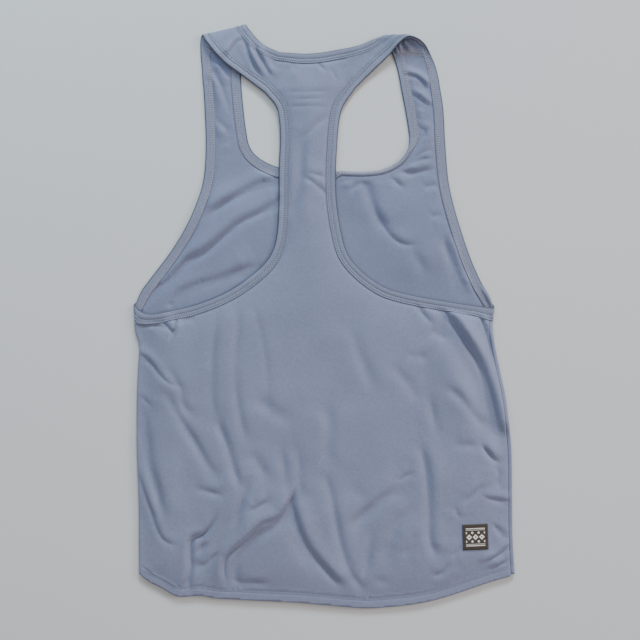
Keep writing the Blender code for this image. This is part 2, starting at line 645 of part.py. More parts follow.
def neck_rows(stretches):
    """The neck binding: back rim, right strap, front rim, left strap."""
    back = on_layer(stretches["back neck"], upper_height)
    front = on_layer(stretches["front neck"], lower_height)[::-1]
    right = strap_binding(RIGHT_STRAP, "neck")[1:-1]
    left = strap_binding(LEFT_STRAP, "neck")[1:-1][::-1]
    return back + right + front + left


def label_grid():
    """Plan points of the label with the heights of the cloth under it."""
    side = np.linspace(-LABEL_SIDE / 2, LABEL_SIDE / 2, LABEL_CELLS + 1)
    across, along = (axis.ravel() for axis in np.meshgrid(side, side))
    centre_x, centre_y = plan(LABEL_CENTRE)
    x = centre_x + across * cos(LABEL_TURN) - along * sin(LABEL_TURN)
    y = centre_y + across * sin(LABEL_TURN) + along * cos(LABEL_TURN)
    return np.column_stack([x, y, upper_height(x, y)])


def label(material, collection):
    """Square woven label lying on the back panel's points."""
    points = label_grid()
    points[:, 2] += PANEL_WALL / 2 + SEAM_GAP + LABEL_WALL / 2
    mesh_data = bmesh.new()
    add_rows(mesh_data, points.reshape(LABEL_CELLS + 1, LABEL_CELLS + 1, 3))
    finish_surface(mesh_data)
    return make_object("label", mesh_data, LABEL_WALL, material, collection)


def cloth_material(name, colour, roughness):
    """Principled material of one cloth."""
    material = bpy.data.materials.new(name)
    material.use_nodes = True
    shader = material.node_tree.nodes["Principled BSDF"]
    shader.inputs["Base Color"].default_value = colour
    shader.inputs["Roughness"].default_value = roughness
    shader.inputs["Metallic"].default_value = 0.0
    material.diffuse_color = colour
    return material


def main():
    for leftover in list(bpy.data.objects):
        bpy.data.objects.remove(leftover)
    collection = bpy.data.collections.new(GARMENT)
    bpy.context.scene.collection.children.link(collection)
    garment = bpy.data.objects.new(GARMENT, None)
    garment.location = CENTRING
    collection.objects.link(garment)
    jersey = cloth_material("jersey", CLOTH, 0.75)
    binding_jersey = cloth_material("binding_jersey", BINDING_CLOTH, 0.75)
    woven = cloth_material("woven_label", LABEL_BROWN, 0.8)
    stretches = rims()
    back_panel(stretches, jersey, collection)
    front_panel(stretches, jersey, collection)
    binding("armhole_binding_left",
            armhole_rows(stretches["back left"], stretches["front left"], LEFT_STRAP, -FOLD_RADIUS),
            binding_jersey, collection)
    binding("armhole_binding_right",
            armhole_rows(stretches["back right"], stretches["front right"], RIGHT_STRAP, FOLD_RADIUS),
            binding_jersey, collection)
    binding("neck_binding", neck_rows(stretches), binding_jersey, collection)
    label(woven, collection)


main()
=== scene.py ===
"""Looks of the stringer tank top: fine cloth, bindings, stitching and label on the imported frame.

The garment lies on z = 0 with its back up.  Outlines and creases are drawn on a
plan grid whose step is worked out from the chest width; x runs to the right and
y toward the shoulders.  Widths and heights are real sizes.
"""

from collections import namedtuple
from functools import lru_cache
from math import cos, pi, radians, sin

import bmesh
import bpy
import numpy as np
from bpy.props import FloatProperty, FloatVectorProperty, IntProperty, PointerProperty
from bpy.types import Operator, Panel, PropertyGroup
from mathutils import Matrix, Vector
from mathutils.geometry import delaunay_2d_cdt


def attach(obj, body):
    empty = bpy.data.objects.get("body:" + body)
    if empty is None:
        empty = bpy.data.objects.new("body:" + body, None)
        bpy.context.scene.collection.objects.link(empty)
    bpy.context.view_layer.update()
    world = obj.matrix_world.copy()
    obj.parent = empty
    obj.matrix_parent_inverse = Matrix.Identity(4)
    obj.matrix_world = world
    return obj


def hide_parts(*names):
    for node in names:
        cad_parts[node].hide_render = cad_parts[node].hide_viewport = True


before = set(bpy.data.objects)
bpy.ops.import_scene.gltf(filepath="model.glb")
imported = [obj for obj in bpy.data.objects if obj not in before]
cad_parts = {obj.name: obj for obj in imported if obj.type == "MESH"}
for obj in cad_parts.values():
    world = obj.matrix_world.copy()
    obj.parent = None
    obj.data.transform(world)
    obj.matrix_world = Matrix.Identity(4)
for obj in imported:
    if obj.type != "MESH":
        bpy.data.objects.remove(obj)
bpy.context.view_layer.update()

bl_info = {
    "name": "Stringer Tank Top",
    "version": (1, 0, 0),
    "blender": (4, 5, 0),
    "location": "View3D > Sidebar > Stringer",
    "description": "Cloth, bindings, stitching, label and stage of a stringer tank top laid flat",
    "category": "Object",
}

# Driving dimensions, as in the solids
CHEST_WIDTH = 0.4464
CHEST_STEPS = 360
STEP = CHEST_WIDTH / CHEST_STEPS
CENTRING = np.array([0.0010, -0.0022, 0.0])
PANEL_LEVEL = 0.0006          # middle of the lower layer above what it lies on
LAYER_PITCH = 0.0026
UPPER_LEVEL = PANEL_LEVEL + LAYER_PITCH
BINDING_WIDTH = 0.0125
FOLD_RADIUS = 0.0018
LEFT_SEAM_INSET = 0.0070
RIGHT_SEAM_INSET = 0.0045
HEM_STAGGER = 0.0015
BACK_PUFF = 0.0048
BACK_PUFF_REACH = 0.026
SOFTNESS = 0.0008
EYE_HEIGHT = 1.10             # from which the plan was drawn

# Fine form that only the looks have
SHELL = 0.0008                # thickness of the panels' shells
TUCK = 0.0020                 # how far a panel reaches into its binding
SEAM_GROOVE = 0.0002          # half the gap between two panels at a seam
SHEET_SPACING = 0.0027
GRID_GAP = 0.0018             # from the even points to those along creases
FORM_SPACING = 0.0026
FORM_GAP = 0.0012
ROW_SPACING = 0.0023
WELD = 0.00002                # points nearer than this become one
SIDE_CLEAR = 0.001            # from a side to the next point of the rim or hem
STRAP_COLUMNS = 26
STRAP_ROWS_PER_SECTION = 14
STRAP_CREASES_FROM = 5.5      # sections before the front end of a strap
STRAP_CREASES_TO = 4          # sections from the yoke
HEM_WIDTH = 0.0135            # depth of the turned-up hem
HEM_RISE = 0.0006
HEM_ROWS = (0.0128, 0.0098)   # the two lines of stitches above the hem
UNSEWN = 3                    # points of the hem's line at each end
HEM_GROOVE = 0.0008
HEM_GROOVE_WIDTH = 0.0008
HEM_STEP = 0.0015             # over which the doubled cloth ends
SEAM_DIP = 0.0007             # the panel is drawn down beside a binding
SEAM_DIP_INSET = 0.0006
SEAM_DIP_WIDTH = 0.0013
SEAM_DIP_REACH = 0.004
SEAM_SINK = 0.0004            # a side seam's edge goes down into the other panel
STITCH_ROWS = (0.57, 0.86)    # shares of a binding's width at which it is sewn
BAND_FLAT = 0.0008            # half thickness of a binding
OUTER_GROOVE = 0.00048        # how far its stitches draw it down, outside and inside
INNER_GROOVE = 0.00015
OUTER_PUCKER = 0.00010        # its unevenness along its length
INNER_PUCKER = 0.00007
OUTER_RIBS = 0.00006
PUCKER_LENGTH = 0.0041        # from one pucker to the next, and how that drifts
PUCKER_DRIFT = 1.3
DRIFT_LENGTH = 0.019
RIBS_PER_PUCKER = 2.83
# Where these lie across a binding: centre and reach, as shares of its width
RIB_SPOT = (0.27, 0.20)
PUCKER_SPOT = (0.35, 0.22)
RIBS_SPOT = (0.715, 0.12)
GROOVE_REACH = 0.04
ROUNDED_RIM = 0.12            # where its two edges are rounded off
ROUNDED_INNER = 0.05
RIB_PITCH = 0.00145
LOWEST = 0.00005              # nothing of a binding lies lower
LOWEST_STITCH = 0.0002
STITCH_SHARE = 0.66           # of the pitch that a stitch is long
UNEVENNESS = 0.16             # of a stitch's length and turn
LADDER_LEAN = radians(62)     # of the inner threads that cross the ladder
LADDER_LIFT = 0.0001
OVERCAST_PITCH = 0.0022       # stitches of the shoulder seams' overcast edges
OVERCAST_OFFSETS = (-0.26, 0.02)  # sections past the shoulder seam
OVERCAST_LIFT = 0.0002
LIP_WIDTH = 0.0045            # what shows of the neck binding where it rolls under
LIP_HEIGHT = 0.0017
LIP_REACH = 0.013
LIP_RADIUS = 0.0016
CURL_HEIGHT = 0.0030          # the right armhole's rim stands up where it comes to the underarm
CURL_CREST = 0.20             # share of the binding's width at which it is highest
CURL_REACH = 0.14
CURL_START = 0.006
CURL_END = 0.032
FRONT_LIFT = 0.0003           # the front panel's middle over where it lies lowest
EDGE_WAVES = 0.3              # share of the broad waves that is left at the back's edges
# The front neck's binding rolls under past this x and below this y of the plan
# grid; each comes with the run over which it does
ROLL_START = 4
ROLL_START_RUN = 14
ROLL_END = 166
ROLL_END_RUN = 16

# Spacing of points along lines that other points are measured from
LINE_SPACING = 0.006
NECK_SPACING = 0.004
SIDE_SPACING = 0.005
RIM_SPACING = 0.009
CURVE_STEPS = 12              # between two points of a drawn line
POINT_BATCH = 4000            # points measured at a time

# Finishes: wave lengths of the knit and of the thread's twist
KNIT_COLUMN = 0.00085
KNIT_COURSE = 0.0007
KNIT_LEAN = 2600              # radians per metre of height
THREAD_TWIST = 0.0006
JERSEY_NOISE = ((900.0, 2.0), (7.0, 3.0), (160.0, 3.0), (430.0, 1.0))  # scale and detail
INSIDE_TINT = (0.92, 0.93, 0.96)  # the jersey's inside against its outside

# The stage
Light = namedtuple("Light", "name place aim size power colour")
LIGHTS = (
    Light("key_light", (0.90, 4.60, 2.15), (0, 0, 0), 1.2, 230, (0.82, 0.92, 1.0)),
    Light("side_light", (4.00, 0.90, 1.80), (0, 0, 0), 1.2, 88, (1.0, 0.95, 0.95)),
    Light("sky_light", (-0.55, 1.15, 0.75), (-0.05, 0.3, 0), 0.7, 8, (0.36, 0.72, 1.0)),
    Light("fill_light", (0.3, -1.2, 2.2), (0, 0, 0), 1.6, 5, (1.0, 0.93, 0.95)),
)
SKY_COLOUR = (1.0, 0.97, 0.985)
SKY_STRENGTH = 0.42
FLOOR_HALF = 2.5
FLOOR_LEVEL = -0.0002
LENS = 50.0                   # mm
SENSOR = 36.0
VIEW_CENTRE = (-5, -2)        # on the plan grid, and how many steps the view is wide
VIEW_STEPS = 640
SHARP_LEVEL = 0.003           # height at which the view is just that wide

# Outlines on the plan grid, each read from the underarm or the left
LEFT_EDGE = ((-191, 14), (-190, 2), (-190, -12), (-185.5, -28), (-186.5, -44), (-188, -82),
             (-188, -126), (-186, -186), (-186, -222), (-185.5, -256))
RIGHT_EDGE = ((169, 14), (168, -1), (167.5, -12), (170, -30), (175, -54), (180, -78),
              (183, -102), (186, -126), (187, -186), (187.5, -222), (189.5, -257))
HEM = ((-185.5, -256), (-175, -264), (-163, -270), (-151, -277), (-143, -278.5), (-125, -277.5),
       (-110, -280), (-85, -281.5), (-25, -284.5), (25, -289), (45, -290), (85, -286.5),
       (105, -283), (125, -277.5), (165, -264), (189.5, -257))
BACK_ARMHOLE_LEFT = ((-189.5, 13), (-187, 9.5), (-183, 6.5), (-177, 4.4), (-168, 4.6), (-154, 7.7),
                     (-128, 14), (-97, 27), (-71, 45), (-58, 58), (-52, 69), (-48.5, 83),
                     (-46.5, 110), (-46, 155), (-45, 178), (-46, 198), (-49, 211), (-60, 225))
BACK_ARMHOLE_RIGHT = ((167.5, 10.5), (146, 13), (115, 18), (95, 21.5), (79, 25), (59, 31.5),
                      (37, 47), (23, 64), (16, 88), (11.5, 120), (11, 148), (12, 168),
                      (14.5, 198), (18, 211), (30, 229))
BACK_NECK = ((-45.3, 265.7), (-35, 265), (-20, 264.3), (-5, 265.3), (17, 269))
FRONT_ARMHOLE_LEFT = ((-189.5, 15), (-184, 27), (-173, 42), (-155, 66), (-140, 90), (-129, 114),
                      (-122, 138), (-119.5, 170), (-120.5, 208), (-122, 233))
FRONT_ARMHOLE_RIGHT = ((167.5, 14), (165, 21), (157, 35), (147, 57), (138, 82), (130, 108),
                       (124, 135), (120.5, 174), (118.5, 210), (114.5, 235.5))
FRONT_NECK = ((-84, 236), (-82, 213), (-79, 188), (-75.5, 172), (-68, 162), (-47, 151),
              (-18, 146), (11, 146.5), (40, 145.5), (60, 148.5), (75, 157), (83, 168),
              (84.5, 177), (82, 198), (75, 235.2))
UNDERARM_INNER = -3

# Straps from the yoke over the shoulder to the front.  A row is a cross section:
# plan x, plan y and height in mm at the armhole, the middle and the neck.
Section = namedtuple("Section", "armhole middle neck")
LEFT_STRAP = (
    Section((-60, 225, 3.2), (-53, 247, 3.2), (-45.3, 265.7, 3.2)),
    Section((-83, 242.5, 4.6), (-73, 258, 3.8), (-61, 273, 3.3)),
    Section((-100, 255, 6.4), (-85, 267.5, 4.6), (-69, 280.5, 3.4)),
    Section((-112, 267.5, 7.4), (-95, 278, 5.0), (-74, 286.5, 3.4)),
    Section((-120, 278, 6.2), (-100.5, 284.5, 4.4), (-77, 290.2, 3.3)),
    Section((-123, 282.5, 3.2), (-102, 287.7, 2.5), (-78.7, 293, 2.0)),
    Section((-124.2, 279.5, 0.6), (-102.5, 284.5, 0.6), (-79.2, 290, 0.6)),
    Section((-124.5, 266, 0.6), (-103.5, 270.5, 0.6), (-82, 276, 0.6)),
    Section((-123, 248, 0.6), (-104, 251, 0.6), (-84, 256, 0.6)),
    Section((-122, 233, 0.6), (-103, 234, 0.6), (-84, 236, 0.6)))
LEFT_SHOULDER_SEAM = 7
RIGHT_STRAP = (
    Section((30, 229, 3.2), (23.5, 249.5, 3.2), (17, 269, 3.2)),
    Section((42, 241, 3.6), (35.5, 257, 3.5), (28.5, 271.2, 3.3)),
    Section((54, 252.5, 5.0), (48, 265.5, 4.2), (39, 274.2, 3.4)),
    Section((65, 263.5, 8.0), (59.5, 274, 6.0), (47, 278, 3.6)),
    Section((74.5, 275, 12.0), (68, 280.5, 8.8), (52.5, 279.8, 3.6)),
    Section((83, 281.3, 13.5), (75, 283.4, 9.5), (56, 281.1, 2.2)),
    Section((92, 279.7, 12.5), (80.5, 281.2, 6.0), (58, 278.5, 0.8)),
    Section((100, 273.5, 9.0), (86, 275, 2.2), (61.5, 273, 0.6)),
    Section((106, 262.5, 4.0), (89, 264.5, 0.8), (67, 263.5, 0.6)),
    Section((111, 250, 1.2), (92, 251, 0.6), (71.5, 250.5, 0.6)),
    Section((114.5, 235.5, 0.6), (95, 235.5, 0.6), (75, 235.2, 0.6)))
RIGHT_SHOULDER_SEAM = 8
SHOULDER_SEAMS = ((LEFT_STRAP, LEFT_SHOULDER_SEAM), (RIGHT_STRAP, RIGHT_SHOULDER_SEAM))
SHOULDER_SECTION_RUN = 0.015

# Creases.  Width and depth of the trough and height of the ridges on its left
# and right are in mm; then come its points on the plan grid, an x and a y each.
Crease = namedtuple("Crease", "width depth left right points")


def creases(*rows):
    """Rows of a crease table, by the names of their columns."""
    return tuple(Crease(*row[:4], tuple(zip(row[4::2], row[5::2]))) for row in rows)


BACK_CREASES = creases(
    # left side, from the armhole down
    (1.8, 1.2, 2.4, 0.2,  -214,-5, -196,-6, -188,-7, -180,-8, -174,-7.5, -167,-7.5, -160,-10, -152,-16),
    (1.8, 1.6, 1.8, 1.6,  -157,-22, -152,-16, -149.5,-9, -148.5,-1, -148,6),
    (3, 2.6, 1.2, 0.4,  -166,-1, -160,-6, -154,-12, -149,-18),
    (3.4, 1.4, 0.8, 0.4,  -146,-6, -138,-2, -128,0),
    (2.8, 1.4, 1.4, 0.3,  -212,-39, -198,-37.5, -188,-37, -180,-40, -173,-46, -166,-55, -158,-63,
     -150,-67, -140,-69),
    (5.4, 1.5, 0.5, 0.9,  -164,-46, -150,-60, -143,-73, -142,-84, -136,-94, -124,-104),
    (6, 1.9, 1, 0.5,  -162,-66, -149,-92, -140,-108, -130,-124, -121,-140, -110,-156, -100,-163),
    (2.8, 0.8, 0.6, 0.2,  -200,-76, -187,-79, -180,-82, -171,-92),
    (6, 2.5, 1, 1.3,  -184,-92, -179,-122, -174,-149, -166,-177, -162,-206),
    (2.8, 1.6, 1.3, 0.3,  -190,-146, -184,-163, -179,-178, -173,-193, -168.5,-208, -161,-221, -150,-226,
     -142,-225),
    # middle left
    (5.2, 2, 1.1, 1,  -110,-94, -98,-126, -90,-152, -86,-168, -88,-178),
    (4.6, 2.2, 1.4, 1,  -73,-156, -82,-182, -89,-202, -95,-215),
    (5.6, 1.2, 0.7, 0.3,  -104,18, -108,-2, -111,-24, -113,-52, -112,-84, -109,-106),
    (5.6, 1.2, 0.6, 0.5,  -84,16, -87,-8, -89,-30, -90,-56, -87,-84, -83,-106, -76,-130),
    (4.8, 0.6, 0.4, 0.2,  -73,20, -67,-4, -61,-32, -58,-58, -57,-80, -57,-100),
    (9, 1.2, 0.6, 0.8,  -74,-74, -56,-90, -44,-97, -28,-99),
    (6.5, 1.3, 0.7, 0.6,  -76,-132, -63,-150, -61,-164),
    (6, 1.3, 0.6, 0.6,  -42,-118, -42,-142, -37,-180),
    (5.5, 1.2, 0.5, 0.6,  -27,-120, -25,-165, -21,-189),
    (4.5, 1.7, 0.5, 0,  -135,-166, -121,-172, -108,-175, -94,-177),
    (3.6, 1.6, 0.2, 1.2,  -52,-179, -60,-184, -68,-189, -78,-193),
    # the peak near the hem
    (3.2, 2.5, 0.2, 1.9,  -28,-164, -32,-177, -38,-189, -46,-199, -62,-204, -77,-219, -91,-231, -98,-239,
     -100.5,-250, -99.5,-260, -95.5,-271),
    (7, 3.2, 0, 2.2,  -26,-172, -33,-188, -41,-200, -52,-208, -68,-218, -80,-232, -87,-242, -90,-252,
     -89,-262, -85,-272),
    (4.8, 3, 2.2, 0,  -30,-168, -33,-184, -29,-202, -21,-222, -9,-240, 6,-257, 20,-274),
    (10, 1.8, 0, 0,  -33,-186, -34,-204, -28,-222, -16,-240, 0,-258),
    (3.6, 3.6, 1.2, 1.5,  -106,-188, -111,-202, -121,-216, -132,-221, -134,-234, -134,-252, -141,-280),
    (9, 2, 0, 0,  -116,-216, -126,-226, -128,-240, -128,-262),
    (3.2, 1.5, 0, 0.6,  -116,-221, -123,-229, -131,-239),
    (3.6, 1.8, 0, 0.9,  -102,-228, -111,-238, -118,-245, -130,-249),
    (4.2, 1.3, 0.6, 0,  -97,-256, -87,-264, -69,-264, -50,-266),
    # middle right
    (5.4, 1.8, 1, 0.4,  -4,-149, 5,-172, 10,-197, 16,-227, 27,-257, 44,-278),
    (8, 1.6, 0.7, 0.8,  3,-80, 4,-112, 3,-127, 0,-154),
    (8, 1.1, 0.7, 0.5,  24,0, 33,-32, 45,-62, 53,-80),
    (6.5, 0.9, 0.5, 0.4,  60,-42, 78,-60, 88,-74, 96,-92),
    (5.6, 0.9, 0.3, 0.4,  81,-41, 93,-38, 105,-42),
    (5.4, 1.3, 0.7, 0.7,  102,-67, 105,-82, 110,-112, 111,-124),
    (5.6, 2.4, 1.3, 0.8,  93,-118, 101,-152, 103.5,-192, 106,-227, 116,-244),
    (7, 2.2, 0.6, 1.4,  82,-168, 65,-176, 47,-189, 31,-205, 24,-216),
    (7, 1.4, 0.8, 0.5,  94,-184, 75,-200, 63,-227, 54,-245),
    (6, 1.2, 0.6, 0.5,  92,-210, 85,-227, 75,-240),
    (5.6, 1.8, 0.9, 0.6,  50,-204, 46,-222, 40,-250, 31,-270),
    (3.5, 1.2, 0.5, 0.5,  89,-152, 80,-158, 71,-164),
    (8, 0.7, 0.3, 0.3,  23,-165, 33,-174, 43,-184),
    (6, 0.7, 0.3, 0.3,  44,-262, 55,-262, 68,-266),
    # right side, from the armhole down
    (4.6, 4.2, 5.8, 0.2,  106,20, 127,-4, 142,-26, 154,-46, 163,-71, 169,-96, 174,-124),
    (14, 3.4, 0, 0,  105,0, 116,-10, 133,-33, 145,-53, 154,-78, 160,-101, 166,-127),
    (3.4, 2.2, 1.6, 0.4,  82,26, 93,12, 101,0, 110,-9),
    (5, 0.9, 0.3, 0.3,  102,-13, 115,-18, 123,-24),
    (1.9, 1.6, 2.6, 0.3,  143,26, 150,13, 155,1, 160,-10, 163.5,-22, 166,-36, 168,-54),
    (5.8, 1.5, 1, 0.5,  110,-70, 125,-72, 139,-85, 155,-105, 166,-114),
    (5.4, 1.2, 0.6, 0.3,  126,-124, 137,-127, 156,-126),
    (3.4, 2.6, 2, 0.6,  153,-122, 162,-134, 169,-142, 178,-146),
    (4, 1.3, 0.6, 0.6,  171,-144, 173,-157, 171,-172),
    (3, 1.6, 1.6, 0.2,  153,-172, 160,-179, 167,-181, 178,-183, 192,-190),
    (4, 1.4, 0.6, 0.6,  161,-163, 147,-177, 136,-184),
    (3.6, 1.2, 0.6, 0.6,  129,-187, 133,-200),
    (3.4, 2.2, 0.8, 0.6,  164,-204, 174,-213, 184,-224),
    (2.4, 1.4, 0.2, 2.2,  194,-218, 183,-228, 174,-236, 164,-241, 154,-249),
    (2.4, 1, 0.2, 1.4,  192,-236, 182,-243, 170,-248, 160,-255),
    (4, 1.5, 0.6, 0.9,  103,-257, 115,-255, 125,-243),
    (3.6, 1.2, 0.6, 0.4,  138,-225, 126,-239),
    # yoke
    (2.2, 1.6, 3, 0.9,  -86,284, -79,272, -75,261, -68,247, -60,234),
    (2.2, 1.4, 2.6, 0.7,  -74,276, -66,263, -59,250, -52,236),
    (2.4, 0.8, 0.2, 2.6,  -78,280, -85,277.5, -91,272, -95,264, -96,256),
    (2.4, 0.8, 0.5, 0.2,  -10,257, -4,251, 2,244),
    (2.4, 0.6, 0.3, 0.2,  4,252, 9,243, 12,236),
    (5, 0.7, 0.3, 0.3,  -42,246, -27,253),
    (6, 1, 0.5, 0.5,  48,270, 35,254, 29,244),
    (2.6, 0.4, 0.3, 0.2,  -42,226, -20,225, 8,227),
    (2.6, 0.4, 0.3, 0.2,  -42,219, -20,218, 8,220),
    (2.6, 0.4, 0.3, 0.2,  -42,210, -20,211, 6,210),
    (4, 1, 0.6, 0.4,  -27,176, -15,186, -3,198, 7,205),
    (6, 2, 0.9, 0.6,  -21,186, -23,160, -25,138, -31,113, -38,96),
    (3.6, 1.3, 0.8, 0.4,  -27,142, -20,140, -12,135, -2,127, 6,117),
    (3.4, 1, 0.6, 0.4,  -22,145, -10,143, 4,139),
)
FRONT_CREASES = creases(
    # seen through the left armhole
    (5, 2.6, 0.4, 2.4,  -36,138, -52,136, -67,132, -87,122, -105,111, -121,95),
    (4.6, 2.8, 0.4, 2.2,  -36,122, -63,106, -85,95, -101,82, -120,66, -140,55, -154,40, -166,30, -178,20,
     -192,8, -206,-4),
    (1.9, 1.2, 0.2, 2.4,  -132,62, -141,55, -148,47.5, -154,41, -161,35, -168,30, -178,24),
    (5.4, 1.7, 0.2, 1.7,  -66,54, -83,47, -100,40, -127,32, -143,24, -151,12, -154,-2, -155,-14),
    (2.6, 1.2, 0.6, 0.5,  -157,16, -151,10),
    (7, 1, 0.5, 0.5,  -61,55, -75,46, -88,41),
    # seen through the right armhole
    (4, 1.6, 0.6, 0.8,  36,140, 30,132, 24,124),
    (7, 1.9, 0.7, 0.5,  32,156, 40,136, 46,116, 54,98, 66,82),
    (3.6, 1.5, 0.7, 0,  49,122, 51,108, 58,93, 69,79, 82,73, 100,76),
    (7, 1.2, 0.6, 0.3,  87,74, 93,58, 104,38),
    (5.4, 3, 2.2, 0.4,  116,88, 124,65, 134,36, 141,17),
    (3.6, 1.2, 1.2, 0.4,  59,145, 67,140, 80,126),
    (3.4, 1.4, 2.4, 0.4,  66,147.5, 76,146, 88,145.5, 100,147.5, 113,149),
    (4, 1.2, 0.6, 0.6,  97,130, 114,134),
    (3.4, 1.2, 0.6, 0.6,  10,134, 27,142),
    (4, 1.2, 0.5, 0.6,  105,100, 117,104),
    # right front strap
    (1.1, 1.2, 2.4, 0.6,  67,277, 69,270, 73,261),
    (1.1, 1.2, 2.4, 0.6,  71,278, 72.5,272, 75.5,263),
    (1.4, 1.6, 2.8, 0.6,  74,280, 77.5,275, 81,270, 86,263),
    (1.5, 1, 1.8, 0.6,  79,281, 86,276, 94,270),
    (1.6, 3.2, 0, 0.9,  72,275, 77,278, 84,279.5, 90,277.5, 95,274, 100,269, 103,261, 105,252),
    (2.1, 1.2, 2.6, 0.3,  76,242, 85,242.8, 91,241.5, 96,238, 100.5,232.5, 105,225),
    (2.1, 1.2, 2.7, 0.3,  80,222.5, 87,223.5, 93,222, 98,217.5, 104,213.5, 112,210),
    (2.6, 0.8, 1.4, 0.6,  93,213, 90,206, 90,199),
    (2.8, 0.8, 1.6, 0.3,  88,195, 95,190, 101,186.5, 97,180, 90,174),
    (3, 0.8, 1.4, 0.3,  80,155, 92,162, 103,167.5, 111,169),
    (3, 0.8, 1.5, 0.3,  79,149.5, 88,155, 98,158.5, 112,160),
    # left front strap
    (3, 0.6, 0.5, 2,  -116,256, -110,244, -104,232, -98,214, -90,200),
    (2.6, 0.6, 0.4, 1.8,  -112,262, -104,254, -98,244, -92,236),
    (3.4, 0.6, 0.5, 1.4,  -114,204, -103,193, -92,183),
    (4, 0.9, 0.5, 0.5,  -95,180, -88,168),
)
CREASE_SPREAD = 0.6           # how much wider a crease is where it dies out
CREASE_END = 0.028            # the longest end
CREASE_TAPER = 0.36           # share of a crease over which each end dies out
CREASE_SCALE = 0.00115        # metres for each mm in the tables, for the cloth's softness
RIDGE_OFFSET = 1.7            # from trough to ridge, in crease widths
RIDGE_SPREAD = 1.15
RIDGE_FALL = 2.0              # how much gentler a ridge falls away from its trough
TROUGH_SHARPNESS = 1.2
TROUGH_WIDTHS = (4.0, 8.0)    # narrow troughs come to a line, wide ones are round
TROUGH_POWERS = (1.3, 2.0)
CREASE_UNEVENNESS = 0.22
CREASE_TURNS = 11             # radians of that unevenness along a crease
CREASE_SHIFT = 2.4            # and from one crease to the next
CREASE_REACH = 6              # crease widths beyond which it has died out
CREASE_START = 0.0035         # the creases start within this of a binding's inner edge

# Where a panel stands up from what it lies on: plan centre, radii, mm
Swell = namedtuple("Swell", "x y reach_x reach_y height")
FRONT_SWELLS = (
    Swell(-98, 88, 48, 40, 3.2),
    Swell(92, 88, 48, 48, 3.2),
    Swell(50, 124, 34, 26, 2.4))
BACK_SWELLS = (
    Swell(142, -46, 34, 66, 3.4),
    Swell(-166, -150, 22, 90, 1.6),
    Swell(-60, -205, 70, 50, 1.8),
    Swell(-160, -45, 30, 40, 1.6),
    Swell(120, -190, 50, 60, 1.4))
RIM_SWELLS = (Swell(-171, 0.5, 19, 6.5, 1.7),)  # lift a binding with the cloth beside it

# Broad unevenness of cloth that was laid down by hand: length in metres,
# direction in degrees, phase in radians, height in mm.  Each wave bends.
Wave = namedtuple("Wave", "length direction phase height")
WAVES = (
    Wave(0.151, 12, 0.4, 0.50), Wave(0.118, 74, 2.1, 0.36), Wave(0.089, 8, 4.0, 0.30),
    Wave(0.067, 18, 1.3, 0.18), Wave(0.051, 105, 5.2, 0.12), Wave(0.037, 165, 3.1, 0.08))
WAVE_BEND = 0.6               # radians
WAVE_BEND_LENGTH = 1.7        # in wave lengths

# The label: its centre on the plan grid, real sizes, wave lengths of its weave
LABEL_CENTRE = (149.6, -217.8)
LABEL_TURN = radians(1.8)
LABEL_CLEARING = 0.014         # creases die out this near to it
LABEL_SIDE = 0.0315
LABEL_SHELL = 0.0007
LABEL_LIFT = 0.0012           # of its middle over the back panel's
LABEL_RIM_DROP = 0.0003
LABEL_CELLS = 24
LABEL_COLUMNS = 4.0           # of lozenges
LABEL_WARP = 0.00042
LABEL_WEFT = 0.00034
# Its ornament, in shares of its side: how far each rule runs from the middle
# and half its width, then the lozenges, the seeds and half the whole
LABEL_RULES = ((0.335, 0.016), (0.275, 0.008))
LOZENGE_OUTER = 0.112
LOZENGE_INNER = 0.036
SEED_ROW = 0.17
SEED_SIZE = 0.056
ORNAMENT_HALF = 0.375
LINE_SOFTNESS = 0.008
LABEL_STITCH_INSET = 0.0009
LABEL_STITCH_PITCH = 0.0026


# Curves and distances

def plan(points):
    """Plan grid points in metres."""
    return np.asarray(points, float) * STEP


def solid_point(point):
    """A section's point, (plan x, plan y, mm), in metres.

    The plan is drawn as it looks from overhead, where a high point seems
    further out than it is, so high points are drawn in.
    """
    drawn_in = 1 - (point[2] * 0.001 - UPPER_LEVEL) / EYE_HEIGHT
    return np.array([point[0] * STEP * drawn_in, point[1] * STEP * drawn_in, point[2] * 0.001])


def between(before, start, end, after, share):
    """Centripetal Catmull-Rom point, share of the way from start to end."""
    points = [before, start, end, after]
    knots = [0.0]
    for first, second in zip(points, points[1:]):
        knots.append(knots[-1] + max(np.max(np.linalg.norm(second - first, axis=-1)), 1e-9) ** 0.5)
    knot = knots[1] + share * (knots[2] - knots[1])

    def mix(first, second, low, high):
        return (first * (knots[high] - knot) + second * (knot - knots[low])) / (knots[high] - knots[low])

    near = [mix(points[i], points[i + 1], i, i + 1) for i in range(3)]
    far = [mix(near[i], near[i + 1], i, i + 2) for i in range(2)]
    return mix(far[0], far[1], 1, 2)


def unit(vectors):
    """Vectors of length 1 with the same directions."""
    return vectors / np.linalg.norm(vectors, axis=-1, keepdims=True)


def leftward(line):
    """Unit vectors to the left of a plan line, at its points."""
    run = unit(np.gradient(line, axis=0))
    return np.column_stack([-run[:, 1], run[:, 0]])


def travel(line):
    """Distance along a line to each of its points."""
    return np.r_[0, np.cumsum(np.linalg.norm(np.diff(line, axis=0), axis=1))]


def at_distances(wanted, travelled, values):
    """Values that are known at the distances travelled, at those wanted."""
    return np.column_stack([np.interp(wanted, travelled, column) for column in values.T])


def evenly(line, spacing):
    """Points at even spacing along a polyline."""
    travelled = travel(line)
    wanted = np.linspace(0, travelled[-1], max(2, round(travelled[-1] / spacing)) + 1)
    return at_distances(wanted, travelled, line)


